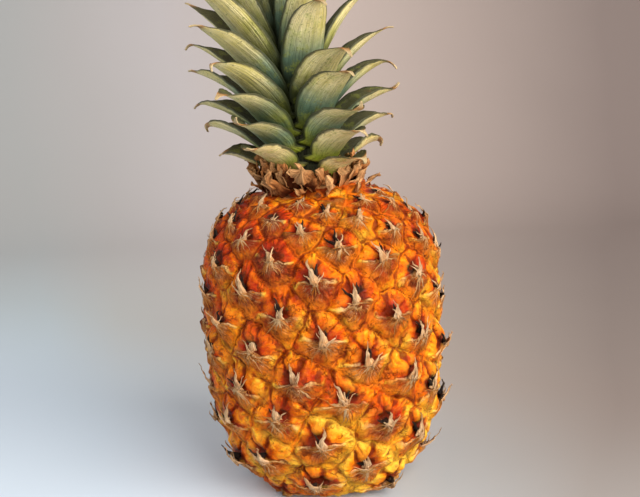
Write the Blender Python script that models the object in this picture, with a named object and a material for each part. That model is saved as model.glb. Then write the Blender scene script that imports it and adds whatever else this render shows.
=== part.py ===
"""A whole ripe pineapple, standing on its cut base with its leafy crown.

Units are metres, +Z is up, and the origin is the centre of the cut base.
The eyes of the fruit and the leaves of the crown follow one growth rule: each
new one is turned by the golden angle and set a little higher than the last.
"""

import math
import random

import bmesh
import bpy
from mathutils import Matrix, Vector
from mathutils.geometry import delaunay_2d_cdt

# ---------------------------------------------------------------- dimensions
MM = 0.001
GAP = 0.3 * MM  # clearance between pieces that touch

FRUIT_HEIGHT = 132 * MM
FRUIT_RADIUS = 50.0 * MM  # down in the grooves between the eyes
WIDEST_AT = 80 * MM  # height of the widest level
BASE_RADIUS = 23 * MM
SEAT_RADIUS = 21 * MM  # flat top that carries the crown
NECK_HEIGHT = 3.0 * MM  # from the end of the barrel up to the seat
LOWER_POWER = 3.8  # higher is boxier below the widest level
UPPER_POWER = 3.5  # and above it

GOLDEN_ANGLE = math.radians(137.50776)
EYE_AREA = 400 * MM * MM  # at mid height
EYE_GROWTH_DOWN = 0.60  # extra area at the base
EYE_SHRINK_UP = 0.72  # area lost at the top
KEY_EYE_AT = 53.2 * MM  # one eye's height and bearing; the others follow from it
KEY_EYE_ANGLE = math.radians(-81.6)
EYE_TWIST = [(0, 8.6), (0.36, 0), (0.55, -2), (0.85, 4), (1, 8)]  # degrees, by share of the height
RIM_RISE = 2.0 * MM
DOME_RISE = 3.1 * MM
CLEAR_OF_FLOOR = 0.5 * MM  # no eye hangs lower than this
LOWEST_EYE = 5 * MM  # below this an eye is cut flat with the base
HIGHEST_EYE = FRUIT_HEIGHT - 1.5 * MM  # and above this with the neck
RIM_AT = 0.83  # share of the way from an eye's middle to its groove
DOME_AT = 0.50
SPINE_LENGTH = 8.5 * MM  # the dry bract tip that stands on each eye
SPINE_WIDTH = 4.8 * MM
SPINE_DEPTH = 1.5 * MM
SPINE_BEND_AT = 0.45  # share of its length where it bends upwards
SPINE_LOWER_TILT = math.radians(42)  # of each part, from the skin outwards
SPINE_UPPER_TILT = math.radians(16)
SPINE_TAPER = 0.6  # width left at the bend
SPINE_SWAY = 0.25  # sideways lean, either way

STALK_RADIUS = 11 * MM
STALK_HEIGHT = 9 * MM
STALK_SIDES = 24

LEAF_COUNT = 42
CROWN_SHIFT = (-3.2 * MM, 0)  # the crown grows a little off the middle of the fruit
CROWN_LEAN = (-0.13, 0.02)  # sideways drift in x and y per unit of height
STEM_HEIGHT = 60 * MM
STEM_BASE_RADIUS = 15.5 * MM
STEM_TIP_RADIUS = 2.6 * MM
STEM_SIDES = 20
STEM_LEVELS = 7
STEM_EASE = 0.8  # below 1 the stem narrows soonest near its foot
FIRST_LEAF_ANGLE = math.radians(-50)
LEAF_TURN = math.radians(144.5)  # from each leaf to the next, so that rows of five show
LOWEST_LEAF_AT = 3.8 * MM  # above the seat
HIGHEST_LEAF_AT = 57 * MM
LEAF_STATIONS = 7
LEAF_SEGMENTS = 4  # across the blade

SCALE_COUNT = 15  # dry scales in the collar under the crown
SCALE_SHARE = 0.84  # of the ring's round that the scales take up
SCALE_LENGTH = (4.5 * MM, 7.5 * MM)  # outwards
SCALE_RISE = (0.5, 1.25)  # against its reach outwards
SCALE_TAPER = 0.45  # size of a scale's tip against its root
COLLAR_HEIGHT = 2.6 * MM
COLLAR_THICKNESS = 1.8 * MM

COLOURS = {
    "fruit": ((0.78, 0.30, 0.03), 0.45),
    "cut_stalk": ((0.55, 0.42, 0.22), 0.80),
    "crown_stem": ((0.45, 0.52, 0.28), 0.60),
    "crown_collar": ((0.35, 0.19, 0.09), 0.85),
    "leaf": ((0.26, 0.36, 0.20), 0.55),
}


# ------------------------------------------------------------------- helpers
def mix(a, b, t):
    """The value a share t of the way from a to b."""
    return a + (b - a) * t


def table_value(table, t):
    """Reads a smooth value at t from (position, value) pairs."""
    for (t0, v0), (t1, v1) in zip(table, table[1:]):
        if t <= t1:
            s = max(0.0, (t - t0) / (t1 - t0))
            return mix(v0, v1, s * s * (3 - 2 * s))
    return table[-1][1]


def material(name):
    """The plain Principled finish of one kind of piece."""
    if name in bpy.data.materials:
        return bpy.data.materials[name]
    colour, roughness = COLOURS[name]
    made = bpy.data.materials.new(name)
    made.use_nodes = True
    shader = made.node_tree.nodes["Principled BSDF"]
    shader.inputs["Base Color"].default_value = (*colour, 1)
    shader.inputs["Roughness"].default_value = roughness
    shader.inputs["Metallic"].default_value = 0
    return made


def add_object(name, bm, finish, parent=None, smooth_angle=None):
    """Turns a bmesh into a named object with its material."""
    bmesh.ops.recalc_face_normals(bm, faces=bm.faces)
    mesh = bpy.data.meshes.new(name)
    bm.to_mesh(mesh)
    bm.free()
    if smooth_angle:
        mesh.shade_smooth()
        mesh.set_sharp_from_angle(angle=smooth_angle)
    mesh.materials.append(material(finish))
    obj = bpy.data.objects.new(name, mesh)
    bpy.context.scene.collection.objects.link(obj)
    obj.parent = parent
    return obj


def ring(bm, radius, z, sides, start=0.0):
    """A closed loop of vertices on a level circle."""
    angles = [start + 2 * math.pi * i / sides for i in range(sides)]
    return [bm.verts.new((radius * math.cos(a), radius * math.sin(a), z)) for a in angles]


def skin(bm, lower, upper):
    """Quads between two loops with as many vertices each."""
    for i, vert in enumerate(lower):
        j = (i + 1) % len(lower)
        bm.faces.new((vert, lower[j], upper[j], upper[i]))


# --------------------------------------------------------------- fruit shape
class FruitShape:
    """The barrel under the eyes, and the spiral that spaces the eyes on it."""

    STEPS = 600
    BEYOND = 0.045  # the spiral runs on this far past each end, to close the end eyes

    def __init__(self):
        self.heights, self.turns, self.counts = [], [], []
        turn = count = 0.0
        below = self.radius(0)
        low, high = -self.BEYOND, FRUIT_HEIGHT + self.BEYOND
        for i in range(self.STEPS + 1):
            z = mix(low, high, i / self.STEPS)
            radius = self.radius(z)
            if i:
                dz = z - self.heights[-1]
                middle = (radius + below) / 2
                step = math.hypot(dz, radius - below)
                turn += step / middle
                count += 2 * math.pi * middle * step / self.eye_area(z - dz / 2)
            below = radius
            self.heights.append(z)
            self.turns.append(turn)
            self.counts.append(count)

    @staticmethod
    def radius(z):
        """Barrel radius at a height: boxy ovals that end at the base and at the seat."""
        z = min(max(z, 0.0), FRUIT_HEIGHT)
        if z < WIDEST_AT:
            power, end, reach = LOWER_POWER, BASE_RADIUS, WIDEST_AT
            u = (WIDEST_AT - z) / reach
        else:
            power, end, reach = UPPER_POWER, SEAT_RADIUS, FRUIT_HEIGHT - WIDEST_AT
            u = (z - WIDEST_AT) / reach
        end_share = (1 - (end / FRUIT_RADIUS) ** 2) ** (1 / power)
        return FRUIT_RADIUS * math.sqrt(1 - (u * end_share) ** power)

    @staticmethod
    def eye_area(z):
        """Eyes are largest at the base and shrink towards the crown."""
        t = min(max(z / FRUIT_HEIGHT, 0.0), 1.0)
        down, up = max(0.0, 0.5 - t) * 2, max(0.0, t - 0.5) * 2
        return EYE_AREA * (1 + EYE_GROWTH_DOWN * down**2 - EYE_SHRINK_UP * up**2)

    def lookup(self, value, keys, values):
        """Linear reading of one of the tables by another."""
        low, high = 0, len(keys) - 1
        while high - low > 1:
            middle = (low + high) // 2
            if keys[middle] <= value:
                low = middle
            else:
                high = middle
        share = (value - keys[low]) / (keys[high] - keys[low])
        return mix(values[low], values[high], share)

    def height_of_turn(self, turn):
        return self.lookup(turn, self.turns, self.heights)

    def point(self, angle, z):
        """A point on the barrel."""
        radius = self.radius(z)
        return Vector((radius * math.cos(angle), radius * math.sin(angle), z))

    def normal(self, angle, z):
        step = 0.5 * MM
        low, high = max(z - step, 0.0), min(z + step, FRUIT_HEIGHT)
        slope = (self.radius(high) - self.radius(low)) / (high - low)
        return Vector((math.cos(angle), math.sin(angle), -slope)).normalized()

    def eyes(self):
        """(angle, turn) of every eye, inside the ends and a little past them."""
        found = []
        key_count = self.lookup(KEY_EYE_AT, self.heights, self.counts)
        for n in range(math.ceil(-key_count), int(self.counts[-1] - key_count)):
            turn = self.lookup(key_count + n, self.counts, self.turns)
            twist = table_value(EYE_TWIST, self.height_of_turn(turn) / FRUIT_HEIGHT)
            angle = KEY_EYE_ANGLE - GOLDEN_ANGLE * n + math.radians(twist)
            found.append((angle % (2 * math.pi), turn))
        return found


def eye_outlines(shape):
    """Each eye's outline on the barrel, as corner numbers, with the corners' places.

    On the map (angle, turn) the barrel keeps its angles, so the border between two
    eyes is the line midway between them: the outlines are Voronoi cells.
    """
    eyes = shape.eyes()
    wrapped = [(a + k * 2 * math.pi, t) for k in (-1, 0, 1) for a, t in eyes]
    sites = [Vector(place) for place in wrapped]
    verts, _, triangles, origin, _, _ = delaunay_2d_cdt(sites, [], [], 0, 1e-9)
    eye_of = [sources[0] % len(eyes) for sources in origin]
    around = {i: [] for i in range(len(verts))}
    centres, keys = [], []
    for number, corners in enumerate(triangles):
        centres.append(circle_centre(*(verts[i] for i in corners)))
        keys.append(frozenset(eye_of[i] for i in corners))  # the same once round the barrel
        for i in corners:
            around[i].append(number)
    corners, known, outlines = [], {}, []
    low_turn = shape.lookup(0.0, shape.heights, shape.turns)
    high_turn = shape.lookup(FRUIT_HEIGHT, shape.heights, shape.turns)
    for i, near in around.items():
        angle, turn = verts[i]
        if not 0 <= angle < 2 * math.pi:
            continue
        ordered = sorted(near, key=lambda n: math.atan2(centres[n].y - turn, centres[n].x - angle))
        if all(not low_turn < centres[n].y < high_turn for n in ordered):
            continue
        for n in ordered:
            if keys[n] not in known:
                known[keys[n]] = len(corners)
                corners.append((centres[n].x, min(max(centres[n].y, low_turn), high_turn)))
        outlines.append((angle, shape.height_of_turn(turn), [known[keys[n]] for n in ordered]))
    return outlines, corners


def circle_centre(a, b, c):
    """The centre of the circle through three points of the plane."""
    b, c = b - a, c - a
    double = 2 * (b.x * c.y - b.y * c.x)
    x = (c.y * b.length_squared - b.y * c.length_squared) / double
    y = (b.x * c.length_squared - c.x * b.length_squared) / double
    return Vector((a.x + x, a.y + y))


def raise_eye(bm, shape, centre, corners, random_source):
    """Builds one eye inside its groove: rim, dome, and the dry tip of its bract."""
    middle = sum((v.co for v in corners), Vector()) / len(corners)
    angle = math.atan2(middle.y, middle.x)
    z = centre.z
    normal = shape.normal(angle, z)
    side = Vector((-math.sin(angle), math.cos(angle), 0))
    up = normal.cross(side)
    size = math.sqrt(shape.eye_area(z) / EYE_AREA)
    rings = [corners]
    for share, rise in ((RIM_AT, RIM_RISE), (DOME_AT, DOME_RISE)):
        lifted = [centre.lerp(v.co, share) + normal * rise * size for v in corners]
        rings.append([bm.verts.new((x, y, max(z, CLEAR_OF_FLOOR))) for x, y, z in lifted])
        skin(bm, rings[-2], rings[-1])
    root = centre + normal * DOME_RISE * size
    half_width, half_depth = SPINE_WIDTH * size / 2, SPINE_DEPTH / 2
    foot = [(-half_width, -half_depth), (half_width, -half_depth), (0.0, half_depth)]
    base = [bm.verts.new(root + side * x + up * y) for x, y in foot]
    fill_between(bm, rings[-1], base, root, side, up)
    length = SPINE_LENGTH * size * random_source.uniform(0.8, 1.15)
    sway = side * random_source.uniform(-SPINE_SWAY, SPINE_SWAY)
    lower = normal * math.sin(SPINE_LOWER_TILT) + up * math.cos(SPINE_LOWER_TILT) + sway
    upper = normal * math.sin(SPINE_UPPER_TILT) + up * math.cos(SPINE_UPPER_TILT) + sway
    bend = root + lower * length * SPINE_BEND_AT
    neck = [bm.verts.new(bend + side * x * SPINE_TAPER + up * y) for x, y in foot]
    skin(bm, base, neck)
    tip = bm.verts.new(bend + upper * length * (1 - SPINE_BEND_AT))
    for i, vert in enumerate(neck):
        bm.faces.new((vert, neck[(i + 1) % len(neck)], tip))


def fill_between(bm, outer, inner, middle, side, up):
    """Triangles between two loops round one middle that differ in their number of corners."""

    def bearing(vert):
        return math.atan2((vert.co - middle).dot(up), (vert.co - middle).dot(side)) % (2 * math.pi)

    outer = sorted(outer, key=bearing)
    inner = sorted(inner, key=bearing)
    i = j = 0
    while i < len(outer) or j < len(inner):
        a, b = outer[i % len(outer)], inner[j % len(inner)]
        next_a, next_b = outer[(i + 1) % len(outer)], inner[(j + 1) % len(inner)]
        turn_a = bearing(next_a) + 2 * math.pi * ((i + 1) // len(outer))
        turn_b = bearing(next_b) + 2 * math.pi * ((j + 1) // len(inner))
        if j >= len(inner) or (i < len(outer) and turn_a <= turn_b):
            bm.faces.new((a, next_a, b))
            i += 1
        else:
            bm.faces.new((a, next_b, b))
            j += 1


def build_fruit():
    """The fruit: one solid, its eyes raised from the barrel and the stalk's pocket below."""
    shape = FruitShape()
    random_source = random.Random(7)
    outlines, places = eye_outlines(shape)
    bm = bmesh.new()
    corners = [bm.verts.new(shape.point(a, shape.height_of_turn(t))) for a, t in places]
    for angle, height, outline in outlines:
        loop = [corners[i] for i in outline]
        if LOWEST_EYE < height < HIGHEST_EYE:
            raise_eye(bm, shape, shape.point(angle, height), loop, random_source)
        elif len(loop) > 2:
            bm.faces.new(loop)
    ends = {vert for edge in bm.edges if edge.is_boundary for vert in edge.verts}
    base = [vert for vert in ends if vert.co.z < FRUIT_HEIGHT / 2]
    shoulder = sorted(ends.difference(base), key=lambda v: math.atan2(v.co.y, v.co.x))
    seat = [bm.verts.new(vert.co + Vector((0, 0, NECK_HEIGHT))) for vert in shoulder]
    skin(bm, shoulder, seat)
    bm.faces.new(seat)
    pocket_mouth = ring(bm, STALK_RADIUS + GAP, 0, STALK_SIDES)
    pocket_end = ring(bm, STALK_RADIUS + GAP, STALK_HEIGHT + GAP, STALK_SIDES)
    skin(bm, pocket_mouth, pocket_end)
    bm.faces.new(pocket_end)
    fill_between(bm, base, pocket_mouth, Vector(), Vector((1, 0, 0)), Vector((0, 1, 0)))
    bmesh.ops.triangulate(bm, faces=bm.faces)
    return add_object("fruit", bm, "fruit", smooth_angle=math.radians(35))


def build_stalk():
    """The cut end of the stalk, flush with the base."""
    bm = bmesh.new()
    foot = ring(bm, STALK_RADIUS, 0, STALK_SIDES)
    top = ring(bm, STALK_RADIUS, STALK_HEIGHT, STALK_SIDES)
    skin(bm, foot, top)
    bm.faces.new(foot)
    bm.faces.new(top)
    return add_object("cut_stalk", bm, "cut_stalk", smooth_angle=math.radians(35))


# --------------------------------------------------------------------- crown
def stem_radius(z):
    """Radius of the crown's stem at a height above the seat."""
    return mix(STEM_BASE_RADIUS, STEM_TIP_RADIUS, (z / STEM_HEIGHT) ** STEM_EASE)


def build_stem(crown):
    """The short tapered stem that the crown's leaves clasp."""
    bm = bmesh.new()
    loops = []
    for i in range(STEM_LEVELS + 1):
        z = mix(GAP, STEM_HEIGHT, i / STEM_LEVELS)
        loops.append(ring(bm, stem_radius(z), z, STEM_SIDES))
        if i:
            skin(bm, loops[-2], loops[-1])
    bm.faces.new(loops[0])
    tip = bm.verts.new((0, 0, STEM_HEIGHT + STEM_TIP_RADIUS))
    for i, vert in enumerate(loops[-1]):
        bm.faces.new((vert, loops[-1][(i + 1) % STEM_SIDES], tip))
    return add_crown_piece("crown_stem", bm, "crown_stem", crown, math.radians(40))


# Leaf shape by place on the stem, from 0 for the lowest leaf to 1 for the highest.
LEAF_LENGTH = [(0, 25 * MM), (0.15, 36 * MM), (0.4, 47 * MM), (0.7, 59 * MM), (0.88, 68 * MM), (1, 66 * MM)]
LEAF_WIDTH = [(0, 21 * MM), (0.3, 23 * MM), (0.65, 21 * MM), (0.82, 14 * MM), (1, 7.5 * MM)]
LEAF_START = [(0, 54), (0.2, 50), (0.45, 40), (0.7, 25), (0.88, 12), (1, 3)]  # degrees from upright
LEAF_END = [(0, 88), (0.2, 84), (0.45, 72), (0.7, 54), (0.88, 29), (1, 9)]  # and at the tip
LEAF_THICK = [(0, 1.2 * MM), (0.5, 1.0 * MM), (1, 0.75 * MM)]  # at the root
LEAF_THIN = 0.7 * MM  # at the tip
ROOT_WIDTH = [(0, 0.86), (0.4, 0.72), (0.7, 0.62), (1, 0.62)]  # share of the leaf's widest
BLADE_OUTLINE = [(0.35, 1.0), (0.6, 0.88), (0.85, 0.50), (1, 0.10)]  # by share of the length
CHANNEL = [(0, 17 * MM), (1, 9 * MM)]  # the blade's bend across, once clear of the stem
FLATTEST_LEAN = math.radians(72)  # past this lean the clasping bend widens no more
LEAN_EASE = 1.25  # above 1 a leaf bends most towards its tip
LEAF_STEPS = 28  # fine steps along a leaf, a multiple of its stations
TILT_SPREAD = 1.0  # degrees, either way


def leaf_line(place, extra_tilt):
    """Stations along a leaf's middle: (distance from the axis, height, lean, share)."""
    length = table_value(LEAF_LENGTH, place)
    start = math.radians(table_value(LEAF_START, place) + extra_tilt)
    end = math.radians(table_value(LEAF_END, place) + extra_tilt)
    height = mix(LOWEST_LEAF_AT, HIGHEST_LEAF_AT, place)
    out, up = stem_radius(height) + GAP + table_value(LEAF_THICK, place), height
    line = [(out, up, start, 0.0)]
    step = length / LEAF_STEPS
    for i in range(1, LEAF_STEPS + 1):
        share = i / LEAF_STEPS
        lean = mix(start, end, share**LEAN_EASE)
        out += math.sin(lean) * step
        up += math.cos(lean) * step
        line.append((out, up, lean, share))
    return line


def build_leaf(number, crown, random_source):
    """One leaf of the crown: a channelled blade that clasps the stem and bends outwards."""
    place = number / (LEAF_COUNT - 1)
    angle = FIRST_LEAF_ANGLE - LEAF_TURN * number
    line = leaf_line(place, random_source.uniform(-TILT_SPREAD, TILT_SPREAD))
    width = table_value(LEAF_WIDTH, place)
    root_thickness = table_value(LEAF_THICK, place)
    outline = [(0, table_value(ROOT_WIDTH, place)), *BLADE_OUTLINE]
    bm = bmesh.new()
    sheets = ([], [])
    for station in range(LEAF_STATIONS + 1):
        out, up, lean, share = line[station * LEAF_STEPS // LEAF_STATIONS]
        half = width / 2 * table_value(outline, share)
        bend = min(out / math.cos(min(lean, FLATTEST_LEAN)), table_value(CHANNEL, share))
        thickness = mix(root_thickness, LEAF_THIN, share)
        along = Vector((math.sin(lean), 0, math.cos(lean)))
        inward = Vector((-math.cos(lean), 0, math.sin(lean)))
        centre = Vector((out, 0, up)) + inward * bend
        for sheet, offset in zip(sheets, (-thickness / 2, thickness / 2)):
            row = []
            for i in range(LEAF_SEGMENTS + 1):
                turn = mix(-half, half, i / LEAF_SEGMENTS) / bend
                place_on_arc = centre - inward * (bend - offset) * math.cos(turn)
                place_on_arc += Vector((0, 1, 0)) * (bend - offset) * math.sin(turn)
                row.append(bm.verts.new(place_on_arc))
            sheet.append(row)
    close_blade(bm, *sheets)
    bm.transform(Matrix.Rotation(angle, 4, "Z"))
    return add_crown_piece(f"leaf_{number + 1:02d}", bm, "leaf", crown, math.radians(60))


def close_blade(bm, outer, inner):
    """Faces of a blade: two sheets split alike, and the edges between them."""
    stations, across = len(outer), len(outer[0])
    for s in range(stations - 1):
        for i in range(across - 1):
            for sheet in (outer, inner):
                a, b, c, d = sheet[s][i], sheet[s][i + 1], sheet[s + 1][i + 1], sheet[s + 1][i]
                bm.faces.new((a, b, c))
                bm.faces.new((a, c, d))
        for i in (0, across - 1):
            bm.faces.new((outer[s][i], outer[s + 1][i], inner[s + 1][i], inner[s][i]))
    for s in (0, stations - 1):
        for i in range(across - 1):
            bm.faces.new((outer[s][i], outer[s][i + 1], inner[s][i + 1], inner[s][i]))


def build_collar(crown):
    """The ring of dry scales where the crown meets the fruit."""
    random_source = random.Random(11)
    inside = STEM_BASE_RADIUS + GAP
    outside = inside + COLLAR_THICKNESS
    bm = bmesh.new()
    loops = [
        collar_loop(bm, inside, GAP),
        collar_loop(bm, outside, GAP),
        collar_loop(bm, outside, GAP + COLLAR_HEIGHT),
        collar_loop(bm, inside, GAP + COLLAR_HEIGHT),
    ]
    for lower, upper in zip(loops, loops[1:] + loops[:1]):
        skin(bm, lower, upper)
    bm.faces.ensure_lookup_table()
    walls = [f for f in bm.faces if all(v in loops[1] or v in loops[2] for v in f.verts)]
    for root in walls[::2]:
        scale = bmesh.ops.extrude_discrete_faces(bm, faces=[root])["faces"][0]
        outwards = scale.calc_center_median() * Vector((1, 1, 0))
        length = random_source.uniform(*SCALE_LENGTH)
        drift = outwards.normalized() + Vector((0, 0, random_source.uniform(*SCALE_RISE)))
        bmesh.ops.translate(bm, verts=scale.verts, vec=drift * length)
        centre = scale.calc_center_median()
        for vert in scale.verts:
            vert.co = centre.lerp(vert.co, SCALE_TAPER)
    return add_crown_piece("crown_collar", bm, "crown_collar", crown, math.radians(30))


def collar_loop(bm, radius, z):
    """A level loop whose wide sides carry scales and whose narrow ones part them."""
    verts = []
    for i in range(SCALE_COUNT):
        for share in (0, SCALE_SHARE):
            angle = 2 * math.pi * (i + share) / SCALE_COUNT
            verts.append(bm.verts.new((radius * math.cos(angle), radius * math.sin(angle), z)))
    return verts


def add_crown_piece(name, bm, finish, crown, smooth_angle):
    """Adds a piece of the crown, leaning with the rest of it."""
    lean = Matrix.Identity(4)
    lean[0][2], lean[1][2] = CROWN_LEAN
    bm.transform(lean)
    return add_object(name, bm, finish, crown, smooth_angle)


def build_crown():
    """The crown, parented to an empty at the middle of its seat on the fruit."""
    crown = bpy.data.objects.new("crown_seat", None)
    bpy.context.scene.collection.objects.link(crown)
    crown.location = (*CROWN_SHIFT, FRUIT_HEIGHT + NECK_HEIGHT)
    build_stem(crown)
    build_collar(crown)
    random_source = random.Random(3)
    for number in range(LEAF_COUNT):
        build_leaf(number, crown, random_source)


def main():
    for obj in list(bpy.data.objects):
        bpy.data.objects.remove(obj)
    build_fruit()
    build_stalk()
    build_crown()


main()
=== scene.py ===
# %% [markdown]
# # A ripe pineapple and its crown
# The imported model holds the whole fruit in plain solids: the barrel with its eyes, the
# cut stalk, the crown's stem, its collar of dry scales and 42 leaves. This lesson keeps
# every one of them in its place and gives it the surface of the real thing. Almost all
# of it follows one growth rule, so the same golden angle sets the eyes and the leaves.

import math
import random
from types import SimpleNamespace

import bpy
import numpy as np
from mathutils import Euler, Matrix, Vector, noise
from mathutils.bvhtree import BVHTree


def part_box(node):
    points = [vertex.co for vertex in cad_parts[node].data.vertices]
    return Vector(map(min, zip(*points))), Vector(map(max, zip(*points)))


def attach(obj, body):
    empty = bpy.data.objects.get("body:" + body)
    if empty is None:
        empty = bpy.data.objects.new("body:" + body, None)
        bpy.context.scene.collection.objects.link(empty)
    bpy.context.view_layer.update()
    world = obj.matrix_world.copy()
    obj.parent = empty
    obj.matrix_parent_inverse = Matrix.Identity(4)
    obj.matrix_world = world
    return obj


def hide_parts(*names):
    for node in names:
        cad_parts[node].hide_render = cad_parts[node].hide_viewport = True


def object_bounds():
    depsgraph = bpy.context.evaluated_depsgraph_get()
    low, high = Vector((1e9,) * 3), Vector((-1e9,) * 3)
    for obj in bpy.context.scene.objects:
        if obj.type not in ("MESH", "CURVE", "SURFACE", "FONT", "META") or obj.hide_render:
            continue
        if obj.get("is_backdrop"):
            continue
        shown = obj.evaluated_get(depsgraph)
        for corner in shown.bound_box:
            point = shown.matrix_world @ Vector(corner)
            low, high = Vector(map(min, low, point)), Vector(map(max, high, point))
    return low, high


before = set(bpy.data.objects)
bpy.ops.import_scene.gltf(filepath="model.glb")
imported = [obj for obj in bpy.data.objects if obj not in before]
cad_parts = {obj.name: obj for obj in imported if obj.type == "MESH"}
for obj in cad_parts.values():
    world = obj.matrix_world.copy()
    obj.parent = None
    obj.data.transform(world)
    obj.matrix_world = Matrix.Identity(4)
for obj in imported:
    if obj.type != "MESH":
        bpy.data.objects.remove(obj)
cad_low, cad_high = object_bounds()
MM = 0.001
print("nodes:", len(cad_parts), "box in mm:", [round(v / MM, 1) for v in cad_high - cad_low])

# %% [markdown]
# ## Small tools for building node trees
# A formula in a node tree takes one node for each sign, which is slow to place by hand and
# hard to read. Here every output of a node is wrapped in a `Value`, and a sign between two
# values adds the Math node for it: `a * b + c` makes two nodes. `put` adds any other node
# and fills its inputs, by number or by name, with plain values or with other outputs.

# %% Values that can be added and multiplied
class Value:
    """An output of a node. A sign between it and another value or number adds a Math node."""

    def __init__(self, socket):
        self.socket, self.tree = socket, socket.id_data

    def __add__(self, other):
        return calc("ADD", self, other)

    def __sub__(self, other):
        return calc("SUBTRACT", self, other)

    def __rsub__(self, other):
        return calc("SUBTRACT", other, self)

    def __mul__(self, other):
        return calc("MULTIPLY", self, other)

    def __truediv__(self, other):
        return calc("DIVIDE", self, other)

    def __pow__(self, other):
        return calc("POWER", self, other)

    def __abs__(self):
        return calc("ABSOLUTE", self)

    def beside(self, key):
        """Another output of the same node."""
        return Value(self.socket.node.outputs[key])


print("signs ready")

# %% Adding a node
def feed(value, socket):
    """Links a value to a node's input."""
    value.tree.links.new(value.socket, socket)


def put(tree, kind, inputs=(), take=0, **settings):
    """Adds a node, sets its properties, fills its inputs, and gives back the output to take."""
    node = tree.nodes.new(kind)
    for name, value in settings.items():
        setattr(node, name, value)
    for key, value in inputs.items() if isinstance(inputs, dict) else enumerate(inputs):
        if isinstance(value, Value):
            feed(value, node.inputs[key])
        else:
            node.inputs[key].default_value = value
    return Value(node.outputs[take])


def tree_of(*values):
    """The tree that holds some values, the plain numbers among them aside."""
    return next(value.tree for value in values if isinstance(value, Value))


def calc(operation, *values):
    """One Math node, such as calc("SINE", a)."""
    return put(tree_of(*values), "ShaderNodeMath", values, operation=operation)


print("nodes can be added")

# %% Helpers for vectors
def vector_calc(operation, first, second):
    """One Vector Math node."""
    return put(first.tree, "ShaderNodeVectorMath", [first, second], operation=operation)


def scaled(vector, factor):
    """A vector times a number."""
    return put(vector.tree, "ShaderNodeVectorMath", {0: vector, 3: factor}, operation="SCALE")


def joined(x, y, z):
    """A vector from three numbers."""
    return put(tree_of(x, y, z), "ShaderNodeCombineXYZ", [x, y, z])


def parts_of(vector):
    """The x, y and z of a vector."""
    x = put(vector.tree, "ShaderNodeSeparateXYZ", [vector])
    return x, x.beside(1), x.beside(2)


print("vector helpers ready")

# %% Helpers for masks, noises and colours
def smooth(value, low, high):
    """0 below low, 1 above high, and smooth between; high may be the lower of the two."""
    inputs = {"Value": value, "From Min": low, "From Max": high}
    return put(value.tree, "ShaderNodeMapRange", inputs, interpolation_type="SMOOTHSTEP")


def centred(value, amount):
    """A noise value as a shift either way, up to about half of amount."""
    return (value - 0.5) * amount


def noise_of(place, scale, detail=4.0, roughness=0.55, distortion=0.0):
    """A noise texture's value; its colour lies beside it."""
    return put(place.tree, "ShaderNodeTexNoise", {
        "Vector": place, "Scale": scale, "Detail": detail, "Roughness": roughness, "Distortion": distortion})


def paint(under, share, over, mode="MIX"):
    """Two colours laid over each other: under where share is 0, and over where it is 1."""
    colours = [colour if isinstance(colour, Value) else (*colour, 1) for colour in (under, over)]
    return put(tree_of(under, share, over), "ShaderNodeMix", {0: share, 6: colours[0], 7: colours[1]},
               take=2, data_type="RGBA", blend_type=mode)


def ramp(value, stops):
    """A colour ramp from (position, (r, g, b)) stops."""
    made = put(value.tree, "ShaderNodeValToRGB", [value])
    elements = made.socket.node.color_ramp.elements
    while len(elements) < len(stops):
        elements.new(0.5)
    for element, (position, colour) in zip(elements, stops):
        element.position = position
        element.color = (*colour, 1)
    return made


print("colour helpers ready")

# %% [markdown]
# ## The rule of the eyes
# A pineapple's eyes are berries that grew in turn round one stem. Each new one is turned
# by the golden angle from the last, which is why spiral rows show both ways. The barrel
# is a boxy oval. On a map of it that keeps its angles, the border between two eyes lies
# midway between them, so a map point belongs to the eye that is nearest.

# %% The barrel under the eyes
FRUIT_HEIGHT = 132 * MM
FRUIT_RADIUS = 50 * MM  # down in the grooves between the eyes
WIDEST_AT = 80 * MM
BASE_RADIUS = 23 * MM
SEAT_RADIUS = 21 * MM
LOWER_POWER, UPPER_POWER = 3.8, 3.5  # higher is boxier
SEAT_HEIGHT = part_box("crown_stem")[0].z - 0.3 * MM  # the stem stands a hair above its seat
CROWN_SEAT = (-3.2 * MM, 0, SEAT_HEIGHT)  # the crown grows a little off the middle of the fruit


def barrel_radius(z):
    """Radius of the barrel at the heights in an array."""
    z = np.clip(z, 0, FRUIT_HEIGHT)
    lower = z < WIDEST_AT
    share = np.where(lower, (WIDEST_AT - z) / WIDEST_AT, (z - WIDEST_AT) / (FRUIT_HEIGHT - WIDEST_AT))
    power = np.where(lower, LOWER_POWER, UPPER_POWER)
    end = np.where(lower, BASE_RADIUS, SEAT_RADIUS) / FRUIT_RADIUS
    end_share = (1 - end**2) ** (1 / power)
    return FRUIT_RADIUS * np.sqrt(1 - (share * end_share) ** power)


def barrel_slope(z):
    """How fast the radius changes with height."""
    step = 0.5 * MM
    low, high = np.clip(z - step, 0, FRUIT_HEIGHT), np.clip(z + step, 0, FRUIT_HEIGHT)
    return (barrel_radius(high) - barrel_radius(low)) / (high - low)


print("radius at mid height, mm:", round(float(barrel_radius(np.array(66 * MM))) / MM, 2))

# %% Where the eyes are
GOLDEN_ANGLE = math.radians(137.50776)
EYE_AREA = 400 * MM * MM  # at mid height
EYE_GROWTH_DOWN, EYE_SHRINK_UP = 0.60, 0.72
KEY_EYE_AT, KEY_EYE_ANGLE = 53.2 * MM, math.radians(-81.6)
EYE_TWIST = [(0, 8.6), (0.36, 0), (0.55, -2), (0.85, 4), (1, 8)]  # degrees, by share of the height
BEYOND = 45 * MM  # the spiral runs on this far past each end


def table_value(table, t):
    """Reads a smooth value at t from (position, value) pairs."""
    for (t0, v0), (t1, v1) in zip(table, table[1:]):
        if t <= t1:
            s = max(0.0, (t - t0) / (t1 - t0))
            return v0 + (v1 - v0) * s * s * (3 - 2 * s)
    return table[-1][1]


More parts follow.
